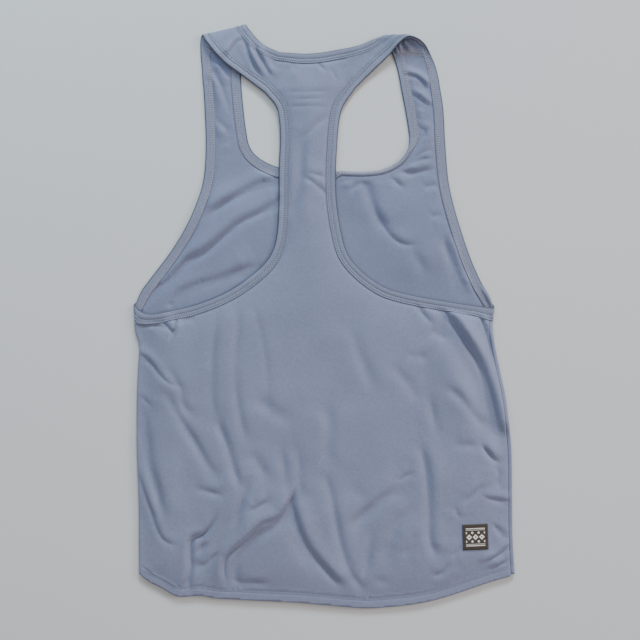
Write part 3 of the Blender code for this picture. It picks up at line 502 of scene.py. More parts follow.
def smooth_curve(points, spacing):
    """Evenly spaced points on a smooth curve through the given ones."""
    points = [np.asarray(point, float) for point in points]
    ring = [2 * points[0] - points[1]] + points + [2 * points[-1] - points[-2]]
    dense = [between(*ring[i:i + 4], k / CURVE_STEPS)
             for i in range(len(ring) - 3) for k in range(CURVE_STEPS)]
    return evenly(np.array(dense + [ring[-2]]), spacing)


def ease(value):
    """Smooth step from 0 to 1."""
    value = np.clip(value, 0, 1)
    return value * value * (3 - 2 * value)


def beside(line, x, y):
    """Signed distance to a polyline, positive on its left, and the share of it travelled."""
    start, run = line[:-1], np.diff(line, axis=0)
    length, before = np.linalg.norm(run, axis=1), travel(line)
    distances, shares = [], []
    for first in range(0, len(x), POINT_BATCH):
        here_x, here_y = x[first:first + POINT_BATCH], y[first:first + POINT_BATCH]
        away_x, away_y = here_x[:, None] - start[:, 0], here_y[:, None] - start[:, 1]
        share = np.clip((away_x * run[:, 0] + away_y * run[:, 1]) / length ** 2, 0, 1)
        off_x, off_y = away_x - share * run[:, 0], away_y - share * run[:, 1]
        distance = np.hypot(off_x, off_y)
        nearest = distance.argmin(axis=1)
        rows = np.arange(len(here_x))
        turn = run[nearest, 0] * off_y[rows, nearest] - run[nearest, 1] * off_x[rows, nearest]
        distances.append(distance[rows, nearest] * np.where(turn < 0, -1, 1))
        shares.append((before[nearest] + share[rows, nearest] * length[nearest]) / before[-1])
    if not distances:
        return np.zeros(0), np.zeros(0)
    return np.concatenate(distances), np.concatenate(shares)


def near_line(line, reach, x, y):
    """Which points lie in a line's box, widened by reach."""
    low, high = line.min(axis=0) - reach, line.max(axis=0) + reach
    return (x > low[0]) & (x < high[0]) & (y > low[1]) & (y < high[1])


def is_inside(outline, x, y):
    """Even-odd test of points against a closed outline."""
    x1, y1 = outline[:, 0], outline[:, 1]
    x2, y2 = np.roll(x1, -1), np.roll(y1, -1)
    spans = (y1 > y[:, None]) != (y2 > y[:, None])
    rise = np.where(y2 == y1, 1e-12, y2 - y1)
    crossing = x1 + (y[:, None] - y1) * (x2 - x1) / rise
    return (spans & (x[:, None] < crossing)).sum(axis=1) % 2 == 1


def edge_distance(outline, x, y):
    """Distance to the nearest side of a closed outline."""
    return np.abs(beside(np.vstack([outline, outline[:1]]), x, y)[0])


# Heights of the two layers

@lru_cache(maxsize=None)
def curve_of(points, spacing=LINE_SPACING):
    """Smooth line through plan grid points."""
    return smooth_curve(plan(points), spacing)


def crease_height(creases, x, y):
    """Sum of the creases' troughs and ridges, uneven along each."""
    height = np.zeros_like(x)
    for number, crease in enumerate(creases):
        line = curve_of(crease.points)
        width = crease.width * 0.001
        near = near_line(line, CREASE_REACH * width, x, y)
        offset, share = beside(line, x[near], y[near])
        length = LINE_SPACING * (len(line) - 1)
        dying = min(CREASE_TAPER, CREASE_END / length)
        taper = ease(share / dying) * ease((1 - share) / dying)
        offset = offset / (width * (1 + CREASE_SPREAD * (1 - taper)))
        uneven = 1 + CREASE_UNEVENNESS * np.sin(CREASE_TURNS * share + CREASE_SHIFT * number)
        ridges = 0
        for ridge, beyond in ((crease.left, offset - RIDGE_OFFSET), (crease.right, -offset - RIDGE_OFFSET)):
            spread = RIDGE_SPREAD * np.where(beyond > 0, RIDGE_FALL, 1)
            ridges = ridges + ridge * np.exp(-(beyond / spread) ** 2)
        power = np.interp(crease.width, TROUGH_WIDTHS, TROUGH_POWERS)
        trough = crease.depth * np.exp(-TROUGH_SHARPNESS * np.abs(offset) ** power)
        height[near] += taper * uneven * (ridges - trough) * CREASE_SCALE
    return height


def beyond_bindings(rim_lines, x, y):
    """0 on the bindings along these rims, 1 a little way past them."""
    clear = np.ones_like(x)
    for points in rim_lines:
        distance = np.abs(beside(curve_of(points), x, y)[0])
        clear = clear * ease((distance - BINDING_WIDTH + CREASE_START) / (2 * CREASE_START))
    return clear


def waviness(x, y):
    """Broad low waves of the whole cloth."""
    height = np.zeros_like(x)
    for wave in WAVES:
        turn = radians(wave.direction)
        along = (x * cos(turn) + y * sin(turn)) / wave.length
        crosswise = (y * cos(turn) - x * sin(turn)) / (WAVE_BEND_LENGTH * wave.length)
        bend = WAVE_BEND * np.sin(2 * pi * crosswise + wave.phase)
        height += wave.height * 0.001 * np.sin(2 * pi * along + wave.phase + bend)
    return height


def soft_floor(height, floor):
    """The larger of two heights, with the change rounded off."""
    rest = height - floor
    return floor + (rest + np.hypot(rest, SOFTNESS) - SOFTNESS * np.exp(-np.abs(rest) / SOFTNESS)) / 2


def roll_at(rim):
    """How far the neck binding rolls under, 0 to 1, at points of the front neck's rim."""
    x, y = (rim / STEP).T
    return ease((x - ROLL_START) / ROLL_START_RUN) * (1 - ease((y - ROLL_END) / ROLL_END_RUN))


def neck_lip(x, y):
    """Rise of the front panel toward the stretch of neck whose binding rolls under."""
    rim = curve_of(FRONT_NECK, NECK_SPACING)
    distance, share = beside(rim, x, y)
    roll = np.interp(share, np.linspace(0, 1, len(rim)), roll_at(rim))
    return LIP_HEIGHT * roll * np.exp(-(distance / LIP_REACH) ** 2)


def hem_rise(x, y, inset):
    """The doubled cloth of the turned-up hem, drawn in along its stitching."""
    up = np.abs(beside(curve_of(HEM), x, y - inset)[0])
    grooves = sum(np.exp(-((up - row) / HEM_GROOVE_WIDTH) ** 2) for row in HEM_ROWS)
    return HEM_RISE * (1 - ease((up - HEM_WIDTH) / HEM_STEP)) - HEM_GROOVE * grooves


def seam_dip(names, x, y):
    """Dip of a panel beside its bindings."""
    dip = np.zeros_like(x)
    for name in names:
        edge = band_line(name, SEAM_DIP_INSET)
        near = near_line(edge, SEAM_DIP_REACH, x, y)
        dip[near] += np.exp(-(beside(edge[::2], x[near], y[near])[0] / SEAM_DIP_WIDTH) ** 2)
    return SEAM_DIP * dip


def swell(table, x, y):
    """Sum of the broad swells of one panel."""
    height = np.zeros_like(x)
    for row in table:
        reach = ((x / STEP - row.x) / row.reach_x) ** 2 + ((y / STEP - row.y) / row.reach_y) ** 2
        height += row.height * 0.001 * np.exp(-reach ** 2)
    return height


def lower_height(x, y):
    """Middle surface of the front panel."""
    x, y = np.atleast_1d(x).astype(float), np.atleast_1d(y).astype(float)
    rim_lines = (FRONT_ARMHOLE_LEFT, FRONT_ARMHOLE_RIGHT, FRONT_NECK)
    folds = crease_height(FRONT_CREASES, x, y) * beyond_bindings(rim_lines, x, y)
    height = PANEL_LEVEL + FRONT_LIFT + swell(FRONT_SWELLS, x, y) + folds + waviness(x, y) / 3
    return soft_floor(height, PANEL_LEVEL) + neck_lip(x, y)


def upper_height(x, y):
    """Middle surface of the back panel, always clear of the front one."""
    x, y = np.atleast_1d(x).astype(float), np.atleast_1d(y).astype(float)
    outline = back_rims()
    gone_in = edge_distance(outline, x, y) * is_inside(outline, x, y)
    inward = 1 - np.exp(-(gone_in / BACK_PUFF_REACH) ** 2)
    puff = (BACK_PUFF + swell(BACK_SWELLS, x, y)) * inward
    label_x, label_y = plan(LABEL_CENTRE)
    near_label = ease((np.hypot(x - label_x, y - label_y) - LABEL_SIDE / 2) / LABEL_CLEARING)
    rim_lines = (BACK_ARMHOLE_LEFT, BACK_ARMHOLE_RIGHT, BACK_NECK)
    folds = crease_height(BACK_CREASES, x, y) * near_label * beyond_bindings(rim_lines, x, y)
    broad = waviness(x, y) * (EDGE_WAVES + (1 - EDGE_WAVES) * inward)
    cloth = soft_floor(UPPER_LEVEL + puff + folds + broad, lower_height(x, y) + LAYER_PITCH)
    return cloth + swell(RIM_SWELLS, x, y) + hem_rise(x, y, 0)


@lru_cache(maxsize=None)
def back_rims():
    """Outline of the back on its layer: the cloth lies lowest along it."""
    corners = (LEFT_EDGE[::-1] + BACK_ARMHOLE_LEFT + BACK_NECK + BACK_ARMHOLE_RIGHT[::-1]
               + RIGHT_EDGE + HEM[-2:0:-1])
    return evenly(plan(corners), RIM_SPACING)


# Straps

def section_points(section, across):
    """Points on a section: 0 at the armhole, 1 at the neck."""
    armhole, middle, neck = (solid_point(point) for point in section)
    across = np.asarray(across, float)[:, None]
    return (armhole * (1 - across) * (1 - 2 * across) + middle * 4 * across * (1 - across)
            + neck * across * (2 * across - 1))


def strap_surface(strap, places, across):
    """Rows of points over a strap; a place counts sections from the yoke."""
    places = np.asarray(places, float)
    across = np.broadcast_to(across, (len(places), np.shape(across)[-1]))
    rows = []
    for place, shares in zip(places, across):
        index = min(int(place), len(strap) - 2)
        lines = [section_points(section, shares) for section in strap]
        before = lines[index - 1] if index > 0 else 2 * lines[0] - lines[1]
        after = lines[index + 2] if index + 2 < len(lines) else 2 * lines[-1] - lines[-2]
        rows.append(between(before, lines[index], lines[index + 1], after, place - index))
    points = np.array(rows)
    x, y, z = points.reshape(-1, 3).T
    place = np.repeat(places, points.shape[1])
    last = len(strap) - 1
    from_yoke, from_front = ease(1 - place), ease(1 - (last - place))
    folds = (crease_height(BACK_CREASES, x, y) * ease((STRAP_CREASES_TO - place) / 2)
             + crease_height(FRONT_CREASES, x, y) * ease((place - last + STRAP_CREASES_FROM) / 2))
    height = np.maximum(z + folds, np.clip(z, PANEL_LEVEL, UPPER_LEVEL))
    height = height * (1 - from_yoke) + upper_height(x, y) * from_yoke
    height = height * (1 - from_front) + lower_height(x, y) * from_front
    points[..., 2] = height.reshape(points.shape[:2])
    return points


def band_share(strap, places, reach):
    """How far across a strap a band of this width reaches at each place."""
    points = strap_surface(strap, places, np.linspace(0, 1, 9))
    return reach / np.linalg.norm(np.diff(points, axis=1), axis=2).sum(axis=1)


def strap_places(start, end):
    """Evenly split places between two sections."""
    count = max(1, round(abs(end - start) * STRAP_ROWS_PER_SECTION))
    return np.linspace(start, end, count + 1)


def strap_cloth(strap, start, end):
    """Rows of the panel between a strap's two bindings, tucked into both."""
    places = strap_places(start, end)
    edge = band_share(strap, places, BINDING_WIDTH - TUCK)[:, None]
    shares = np.linspace(0, 1, STRAP_COLUMNS + 1)
    return strap_surface(strap, places, edge + shares * (1 - 2 * edge))


# Bindings: rows of points over the middle of the band, from the rim inward

BAND_SHARES = np.array([0, .03, .08, .15, .22, .30, .38, .45, .51, .56,
                        .61, .68, .75, .81, .86, .91, .95, .98, 1])
# The two sides: edge, -1 where the cloth lies to the right of the rim, strap
SIDES = ((LEFT_EDGE, -1, LEFT_STRAP), (RIGHT_EDGE, 1, RIGHT_STRAP))


def rim_band(points, body_side, first=None, last=None):
    """Rim points and the vectors to the band's inner edge, square to the rim.

    body_side is 1 where the cloth lies to the left of the rim and -1 where it
    lies to the right.  first and last turn the ends to given vectors.
    """
    rim = smooth_curve(plan(points), ROW_SPACING)
    inward = leftward(rim) * body_side * BINDING_WIDTH
    travelled = travel(rim)
    for given, distance in ((first, travelled), (last, travelled[-1] - travelled)):
        if given is not None:
            kept = ease(distance / (2 * BINDING_WIDTH))[:, None]
            inward = inward * kept + np.asarray(given) * (1 - kept)
    return rim, inward


def strap_vector(strap, place, side):
    """Plan vector from a strap's rim to its binding's inner edge."""
    edge = band_share(strap, [place], BINDING_WIDTH)[0]
    across = [0, edge] if side == "armhole" else [1, 1 - edge]
    rim, inner = section_points(strap[place], across)
    return (inner - rim)[:2]


def edge_at(edge, y):
    """X of a side edge at a given y."""
    line = curve_of(edge, SIDE_SPACING)
    return np.interp(-np.asarray(y), -line[:, 1], line[:, 0])


@lru_cache(maxsize=None)
def rims():
    """Every stretch of rim that lies on a layer, by name, as (rim, inward)."""
    made = {}
    inner_y = UNDERARM_INNER * STEP
    for layer, armholes, neck in (("back", (BACK_ARMHOLE_LEFT, BACK_ARMHOLE_RIGHT), BACK_NECK),
                                  ("front", (FRONT_ARMHOLE_LEFT, FRONT_ARMHOLE_RIGHT), FRONT_NECK)):
        neck_ends = []
        for side, points, (edge, body_side, strap) in zip(("left", "right"), armholes, SIDES):
            place = 0 if layer == "back" else len(strap) - 1
            inner = np.array([edge_at(edge, inner_y) - body_side * FOLD_RADIUS, inner_y])
            made[layer + " " + side] = rim_band(points, body_side, inner - plan(points[0]),
                                                strap_vector(strap, place, "armhole"))
            neck_ends.append(strap_vector(strap, place, "neck"))
        made[layer + " neck"] = rim_band(neck, -1, *neck_ends)
    return made


def band_line(name, beyond):
    """The line this far beyond the inner edge of what shows of a stretch of binding."""
    rim, inward = rims()[name]
    reach = np.full(len(rim), BINDING_WIDTH)
    if name == "front neck":
        reach = reach + (LIP_WIDTH - BINDING_WIDTH) * roll_at(rim)
    return rim + inward * ((reach + beyond) / BINDING_WIDTH)[:, None]


def lying_band(name, height):
    """A stretch of binding lying on a layer."""
    rim, inward = rims()[name]
    flat = rim[:, None] + BAND_SHARES[None, :, None] * inward[:, None]
    x, y = flat.reshape(-1, 2).T
    if name == "front neck":
        return rolled_band(rim, inward, roll_at(rim))
    rows = np.dstack([flat, height(x, y).reshape(flat.shape[:2])])
    if name == "front right":
        rows[..., 2] += curl(rows)
    return rows


def curl(rows):
    """Rise of the right front binding's rim along the stretch before the underarm."""
    travelled = travel(rows[:, 0])[:, None]
    grown = 2 * CURL_START
    window = ease(travelled / CURL_START) * (1 - ease((travelled - grown) / (CURL_END - grown)))
    return CURL_HEIGHT * window * np.exp(-((BAND_SHARES - CURL_CREST) / CURL_REACH) ** 2)


def rolled_band(rim, inward, roll):
    """The front neck's binding: up to a fold, around it and back below, as far as it rolls."""
    inner = inward / BINDING_WIDTH
    folds_at = rim + inner * LIP_RADIUS
    crest = lower_height(*folds_at.T)
    radius = np.maximum(np.minimum(LIP_RADIUS * ease(2 * roll), (crest - PANEL_LEVEL) / 2), 1e-6)[:, None]
    travelled = (1 - BAND_SHARES)[None] * BINDING_WIDTH
    shown = (BINDING_WIDTH + (LIP_WIDTH - BINDING_WIDTH) * roll)[:, None]
    before = shown - radius
    turned = np.clip((travelled - before) / radius, 0, pi)
    beyond = np.maximum(travelled - before - pi * radius, 0)
    inset = np.where(travelled < before, shown - travelled, radius * (1 - np.sin(turned)) + beyond)
    spots = rim[:, None] + inner[:, None] * inset[..., None]
    x, y = spots.reshape(-1, 2).T
    on_cloth = lower_height(x, y).reshape(inset.shape)
    below = np.minimum(crest[:, None] - radius * (1 - np.cos(turned)), crest[:, None])
    height = np.where(travelled < before, on_cloth, np.maximum(below, PANEL_LEVEL))
    return np.dstack([spots, height])


def strap_band(strap, side):
    """A binding's rows along one side of a strap, yoke to front."""
    places = strap_places(0, len(strap) - 1)
    across = band_share(strap, places, BINDING_WIDTH)[:, None] * BAND_SHARES
    return strap_surface(strap, places, across if side == "armhole" else 1 - across)


def round_fold(under, over, bulge_x, steps=5):
    """Rows around a side fold, from a row on the lower layer to the same row above it."""
    rows = []
    for angle in np.linspace(-pi / 2, pi / 2, steps + 2)[1:-1]:
        row = (under + over) / 2 + (over - under) / 2 * sin(angle)
        row[:, 0] += bulge_x * cos(angle)
        rows.append(row)
    return np.array(rows)


def armhole_band(side):
    """Rows of an armhole binding: back rim, strap, front rim, side fold."""
    strap = LEFT_STRAP if side == "left" else RIGHT_STRAP
    bulge = -FOLD_RADIUS if side == "left" else FOLD_RADIUS
    up = lying_band("back " + side, upper_height)
    down = lying_band("front " + side, lower_height)[::-1]
    over = strap_band(strap, "armhole")[1:-1]
    return np.vstack([up, over, down, round_fold(down[-1], up[0], bulge)])


def neck_band():
    """Rows of the neck binding: back rim, right strap, front rim, left strap."""
    back = lying_band("back neck", upper_height)
    front = lying_band("front neck", lower_height)[::-1]
    right = strap_band(RIGHT_STRAP, "neck")[1:-1]
    left = strap_band(LEFT_STRAP, "neck")[1:-1][::-1]
    return np.vstack([back, right, front, left])


def band_normals(rows):
    """Outward normals of a closed band whose first rows lie with their outer side up."""
    along = np.roll(rows, -1, axis=0) - np.roll(rows, 1, axis=0)
    across = np.gradient(rows, axis=1)
    normal = np.cross(along, across)
    normal /= np.linalg.norm(normal, axis=2)[..., None] + 1e-12
    return normal if normal[:6, :, 2].mean() > 0 else -normal


def band_thickness(shares, rounds, rib):
    """Outer and inner half thickness of a binding across its width.

    shares run from the rim to the inner edge; rounds is the place along the
    band in radians, which puckers it; rib is the height of its outer rib.
    """
    def hump(middle, reach, power=2):
        return np.exp(-((shares - middle) / reach) ** power)

    def rounded(from_end, reach):
        return np.sqrt(1 - (1 - np.clip(from_end / reach, 0, 1)) ** 2)

    ends = rounded(shares, ROUNDED_RIM) * rounded(1 - shares, ROUNDED_INNER) + 0.02
    rows = sum(hump(row, GROOVE_REACH) for row in STITCH_ROWS)
    pucker = np.sin(rounds) * hump(*PUCKER_SPOT)
    ribs = np.sin(rounds * RIBS_PER_PUCKER) * hump(*RIBS_SPOT, power=4)
    outer = (BAND_FLAT + (rib - BAND_FLAT) * hump(*RIB_SPOT, power=4) - OUTER_GROOVE * rows
             + OUTER_PUCKER * pucker + OUTER_RIBS * ribs)
    inner = BAND_FLAT - INNER_GROOVE * rows + INNER_PUCKER * pucker
    return outer * ends, inner * ends


# Meshes

def add_object(name, data):
    """A new object in the scene."""
    made = bpy.data.objects.new(name, data)
    bpy.context.scene.collection.objects.link(made)
    return made


def place_object(name, mesh_data, material):
    """A finished mesh at its place in the frame."""
    mesh = bpy.data.meshes.new(name)
    bmesh.ops.translate(mesh_data, verts=mesh_data.verts, vec=Vector(CENTRING))
    mesh_data.to_mesh(mesh)
    mesh_data.free()
    mesh.materials.append(material)
    mesh.shade_smooth()
    return add_object(name, mesh)


def settle(piece):
    """Turns a piece's modifiers into plain mesh."""
    bpy.context.view_layer.update()
    evaluated = piece.evaluated_get(bpy.context.evaluated_depsgraph_get())
    mesh = bpy.data.meshes.new_from_object(evaluated)
    piece.modifiers.clear()
    old, piece.data = piece.data, mesh
    bpy.data.meshes.remove(old)
    mesh.name = piece.name
    return piece


def give_wall(piece, wall):
    """Gives a surface its thickness, half to each side."""
    solidify = piece.modifiers.new("wall", "SOLIDIFY")
    solidify.thickness = wall
    solidify.offset = 0.0
    return settle(piece)


def add_rows(mesh_data, rows):
    """Quads between neighbouring rows of points."""
    made = [[mesh_data.verts.new(point) for point in row] for row in rows]
    for lower, upper in zip(made, made[1:]):
        for i in range(len(lower) - 1):
            mesh_data.faces.new((lower[i], lower[i + 1], upper[i + 1], upper[i]))


def form_points(creases, lines):
    """Points along the creases and other sharp lines, so that the mesh carries them."""
    points = []
    for crease in creases:
        line = curve_of(crease.points, FORM_SPACING)
        aside = leftward(line) * crease.width * 0.001
        points += [line + aside * share for share in (0, -0.5, 0.5, -1.2, 1.2)]
    for line in lines:
        line = evenly(line, FORM_SPACING)
        points += [line + leftward(line) * reach for reach in (0, -FORM_GAP, FORM_GAP)]
    return np.vstack(points)


def thinned(points, gap, taken):
    """Those points that stay clear of the ones before them; taken maps cells to kept points."""
    kept = []
    for x, y in points:
        cell_x, cell_y = int(x // gap), int(y // gap)
        near = [spot for i in (-1, 0, 1) for j in (-1, 0, 1)
                for spot in taken.get((cell_x + i, cell_y + j), ())]
        if all((x - spot[0]) ** 2 + (y - spot[1]) ** 2 > gap * gap for spot in near):
            taken.setdefault((cell_x, cell_y), []).append((x, y))
            kept.append((x, y))
    return np.array(kept)


def add_sheet(mesh_data, outline, height, creases, seam_lines):
    """A layer's flat part: its outline filled with triangles and raised to its heights."""
    low, high = outline.min(axis=0), outline.max(axis=0)
    lines = np.arange(low[1], high[1], SHEET_SPACING * sin(radians(60)))
    grid = np.array([(x + SHEET_SPACING / 2 * (i % 2), y) for i, y in enumerate(lines)
                     for x in np.arange(low[0], high[0], SHEET_SPACING)])
    sharp = thinned(form_points(creases, seam_lines), FORM_GAP * 0.9, {})
    taken = {}
    for x, y in sharp:
        taken.setdefault((int(x // GRID_GAP), int(y // GRID_GAP)), []).append((x, y))
    inner = np.vstack([sharp, thinned(grid, GRID_GAP, taken)])
    kept = is_inside(outline, *inner.T) & (edge_distance(outline, *inner.T) > FORM_GAP)
    flat = [Vector(point) for point in np.vstack([outline, inner[kept]])]
    corners, _, faces, *_ = delaunay_2d_cdt(flat, [], [list(range(len(outline)))], 1, 1e-7)
    x, y = np.array([tuple(corner) for corner in corners]).T
    made = [mesh_data.verts.new(point) for point in zip(x, y, height(x, y))]
    for face in faces:
        mesh_data.faces.new([made[i] for i in face])


def finish_surface(mesh_data, upward):
    """Joins the stretches of one piece of cloth; upward says which way its outer side lies."""
    bmesh.ops.remove_doubles(mesh_data, verts=mesh_data.verts, dist=WELD)
    bmesh.ops.recalc_face_normals(mesh_data, faces=mesh_data.faces)
    lean = sum(face.normal.z for face in mesh_data.faces)
    if (lean > 0) != upward:
        bmesh.ops.reverse_faces(mesh_data, faces=mesh_data.faces)


def hem_line(inset):
    """The hem from left to right, moved inward by inset."""
    line = curve_of(HEM, SHEET_SPACING).copy()
    line[:, 1] += inset
    return line


def side_stations(top_y, bottom_y):
    """Y values down a side, evenly spaced."""
    return np.linspace(top_y, bottom_y, round((top_y - bottom_y) / SHEET_SPACING) + 1)


def side_line(edge, inset, side, stations):
    """Plan points down a side, moved inward from the fold's outermost line."""
    return np.column_stack([edge_at(edge, stations) + side * inset, stations])


def wrap_rows(edge, side, stations, near_height, far_height, seam_inset):
    """Cloth that turns around a side fold and ends at a seam on the other layer."""
    tangent = side_line(edge, FOLD_RADIUS, side, stations)
    near = np.column_stack([tangent, near_height(*tangent.T)])
    far = np.column_stack([tangent, far_height(*tangent.T)])
    around = round_fold(near, far, -side * FOLD_RADIUS)
    flat = []
    for share, sink in ((0.33, 0), (0.66, 0), (1.0, SEAM_SINK)):
        spots = side_line(edge, FOLD_RADIUS + (seam_inset - FOLD_RADIUS) * share, side, stations)
        flat.append(np.column_stack([spots, far_height(*spots.T) - sink]))
    return [near, *around, far, *flat]


def panel_mesh(which):
    """Fine surface of the back or front panel with its straps up to the shoulder seams."""
    is_back = which == "back"
    height, other = (upper_height, lower_height) if is_back else (lower_height, upper_height)
    groove = SEAM_GROOVE / SHOULDER_SECTION_RUN
    left, right = [strap_cloth(strap, *((0, seam - groove) if is_back else (len(strap) - 1, seam + groove)))
                   for strap, seam in SHOULDER_SEAMS]
    parts = [which + part for part in (" left", " right", " neck")]
    left_rim, right_rim, neck = [band_line(part, -TUCK) for part in parts]
    stagger = 0.0 if is_back else HEM_STAGGER
    hem = hem_line(stagger)
    insets = ((FOLD_RADIUS, RIGHT_SEAM_INSET + SEAM_GROOVE) if is_back
              else (LEFT_SEAM_INSET + SEAM_GROOVE, FOLD_RADIUS))
    left_stations = side_stations(left_rim[0, 1], hem[0, 1])
    right_stations = side_stations(right_rim[0, 1], hem[-1, 1])
    left_side = side_line(LEFT_EDGE, insets[0], 1, left_stations)
    right_side = side_line(RIGHT_EDGE, insets[1], -1, right_stations)
    across_hem = hem[(hem[:, 0] > left_side[-1, 0] + SIDE_CLEAR)
                     & (hem[:, 0] < right_side[-1, 0] - SIDE_CLEAR)]
    left_rim = left_rim[1:-1][left_rim[1:-1, 0] > left_side[0, 0] + SIDE_CLEAR]
    right_rim = right_rim[1:-1][right_rim[1:-1, 0] < right_side[0, 0] - SIDE_CLEAR]
    outline = np.vstack([left_side, across_hem, right_side[::-1], right_rim, right[0][:, :2],
                         neck[1:-1][::-1], left[0][::-1][:, :2], left_rim[::-1]])
    mesh_data = bmesh.new()
    seam_lines = ([hem_line(inset + stagger) for inset in HEM_ROWS]
                  + [band_line(part, SEAM_DIP_INSET) for part in parts])
    add_sheet(mesh_data, outline, height, BACK_CREASES if is_back else FRONT_CREASES, seam_lines)
    add_rows(mesh_data, left)
    add_rows(mesh_data, right)
    edge, side, down, seam_inset = ((LEFT_EDGE, 1, left_stations, LEFT_SEAM_INSET) if is_back
                                    else (RIGHT_EDGE, -1, right_stations, RIGHT_SEAM_INSET))
    add_rows(mesh_data, wrap_rows(edge, side, down, height, other, seam_inset - SEAM_GROOVE))
    x, y, z = np.array([tuple(corner.co) for corner in mesh_data.verts]).T
    z = np.maximum(z - seam_dip(parts, x, y), SHELL / 2)
    for corner, level in zip(mesh_data.verts, z):
        corner.co.z = level
    finish_surface(mesh_data, is_back)
    return mesh_data


def band_mesh(rows, rib):
    """Closed binding with its outer rib, stitched grooves and plain inside."""
    normal = band_normals(rows)
    middle = rows[:, len(BAND_SHARES) // 2]
    travelled = travel(np.vstack([middle, middle[:1]]))
    here = travelled[1:, None]
    rounds = here / PUCKER_LENGTH * 2 * pi + PUCKER_DRIFT * np.sin(here / DRIFT_LENGTH)
    outer, inner = band_thickness(BAND_SHARES[None], rounds, rib)
    top = rows + normal * outer[..., None]
    bottom = rows - normal * inner[..., None]
    ring = np.concatenate([top, bottom[:, ::-1]], axis=1)
    ring[..., 2] = np.maximum(ring[..., 2], LOWEST)
    shares = np.r_[BAND_SHARES, -BAND_SHARES[::-1]]
    lengths = travelled / BINDING_WIDTH
    mesh_data = bmesh.new()
    chart = mesh_data.loops.layers.uv.new("band")
    made = [[mesh_data.verts.new(point) for point in row] for row in ring]
    for row, (lower, upper) in enumerate(zip(made, made[1:] + made[:1])):
        for i in range(len(lower)):
            j = (i + 1) % len(lower)
            face = mesh_data.faces.new((lower[i], lower[j], upper[j], upper[i]))
            spots = ((shares[i], lengths[row]), (shares[j], lengths[row]),
                     (shares[j], lengths[row + 1]), (shares[i], lengths[row + 1]))
            for loop, spot in zip(face.loops, spots):
                loop[chart].uv = spot
    bmesh.ops.recalc_face_normals(mesh_data, faces=mesh_data.faces)
    return mesh_data


# Trees of nodes

class Signal:
    """A node's output whose arithmetic adds Math nodes."""

    def __init__(self, tree, socket):
        self.tree, self.socket = tree, socket

    def math(self, operation, *others):
        """A Math node on this value and others."""
        values = dict(enumerate((self, *others)))
        return self.tree.node("ShaderNodeMath", {"operation": operation}, values)

    def wave(self, length):
        """Sine of this wave length."""
        return (self * (2 * pi / length)).math("SINE")

    def __add__(self, other):
        return self.math("ADD", other)

    def __sub__(self, other):
        return self.math("SUBTRACT", other)

    def __rsub__(self, other):
        return self.tree.node("ShaderNodeMath", {"operation": "SUBTRACT"}, {0: other, 1: self})

    def __mul__(self, other):
        return self.math("MULTIPLY", other)

    def __truediv__(self, other):
        return self.math("DIVIDE", other)

    __radd__ = __add__
    __rmul__ = __mul__


class Tree:
    """Adds nodes to a shader or geometry tree."""

    def __init__(self, nodes):
        self.nodes = nodes

    def node(self, kind, settings=None, values=None, output=0):
        """A node with its settings made first, then the values or links of its sockets."""
        made = self.nodes.nodes.new(kind)
        for name, setting in (settings or {}).items():
            setattr(made, name, setting)
        for name, value in (values or {}).items():
            if isinstance(value, Signal):
                self.nodes.links.new(value.socket, made.inputs[name])
            else:
                made.inputs[name].default_value = value
        return Signal(self, made.outputs[output]) if made.outputs else made

    def split(self, vector):
        """The x, y and z of a vector."""
        parts = self.node("ShaderNodeSeparateXYZ", values={0: vector}).socket.node
        return [Signal(self, parts.outputs[axis]) for axis in range(3)]

    def ramp(self, value, low, high):
        """Smooth step from 0 at low to 1 at high."""
        return self.node("ShaderNodeMapRange", {"interpolation_type": "SMOOTHSTEP"},
                         {0: value, 1: low, 2: high})

    def hump(self, distance, reach):
        """1 where the distance is nought, falling smoothly to 0 at twice the reach."""
        return 1.0 - self.ramp(distance.math("ABSOLUTE"), reach * 0.4, reach * 2)

    def mix(self, share, first, second):
        """Colour between two others."""
        return self.node("ShaderNodeMix", {"data_type": "RGBA"}, {0: share, 6: first, 7: second}, output=2)

    def place(self):
        """Where a point lies on its piece."""
        return self.node("ShaderNodeTexCoord", output=3)

    def noise(self, place, scale, detail):
        """Cloudy noise around 0.5."""
        return self.node("ShaderNodeTexNoise", values={"Vector": place, "Scale": scale, "Detail": detail})

    def bump(self, height, strength, distance):
        """Normals as if a height stood up from the surface."""
        return self.node("ShaderNodeBump",
                         values={"Height": height, "Strength": strength, "Distance": distance})

    def vector(self, *parts):
        """A vector of up to three parts."""
        return self.node("ShaderNodeCombineXYZ", values=dict(enumerate(parts)))


def opaque(colour, share=1.0):
    """A colour with its alpha, made darker by a share below 1."""
    return tuple(part * share for part in colour) + (1.0,)


def new_material(name):
    """Empty material, its tree and the Principled shader at its end."""
    material = bpy.data.materials.new(name)
    material.use_nodes = True
    tree = Tree(material.node_tree)
    shader = material.node_tree.nodes["Principled BSDF"]
    return material, tree, shader


def finish_shader(tree, shader, links, constants):
    """Links the shader's varying sockets and sets its plain ones."""
    for name, signal in links.items():
        tree.nodes.links.new(signal.socket, shader.inputs[name])
    for name, value in constants.items():
        shader.inputs[name].default_value = value


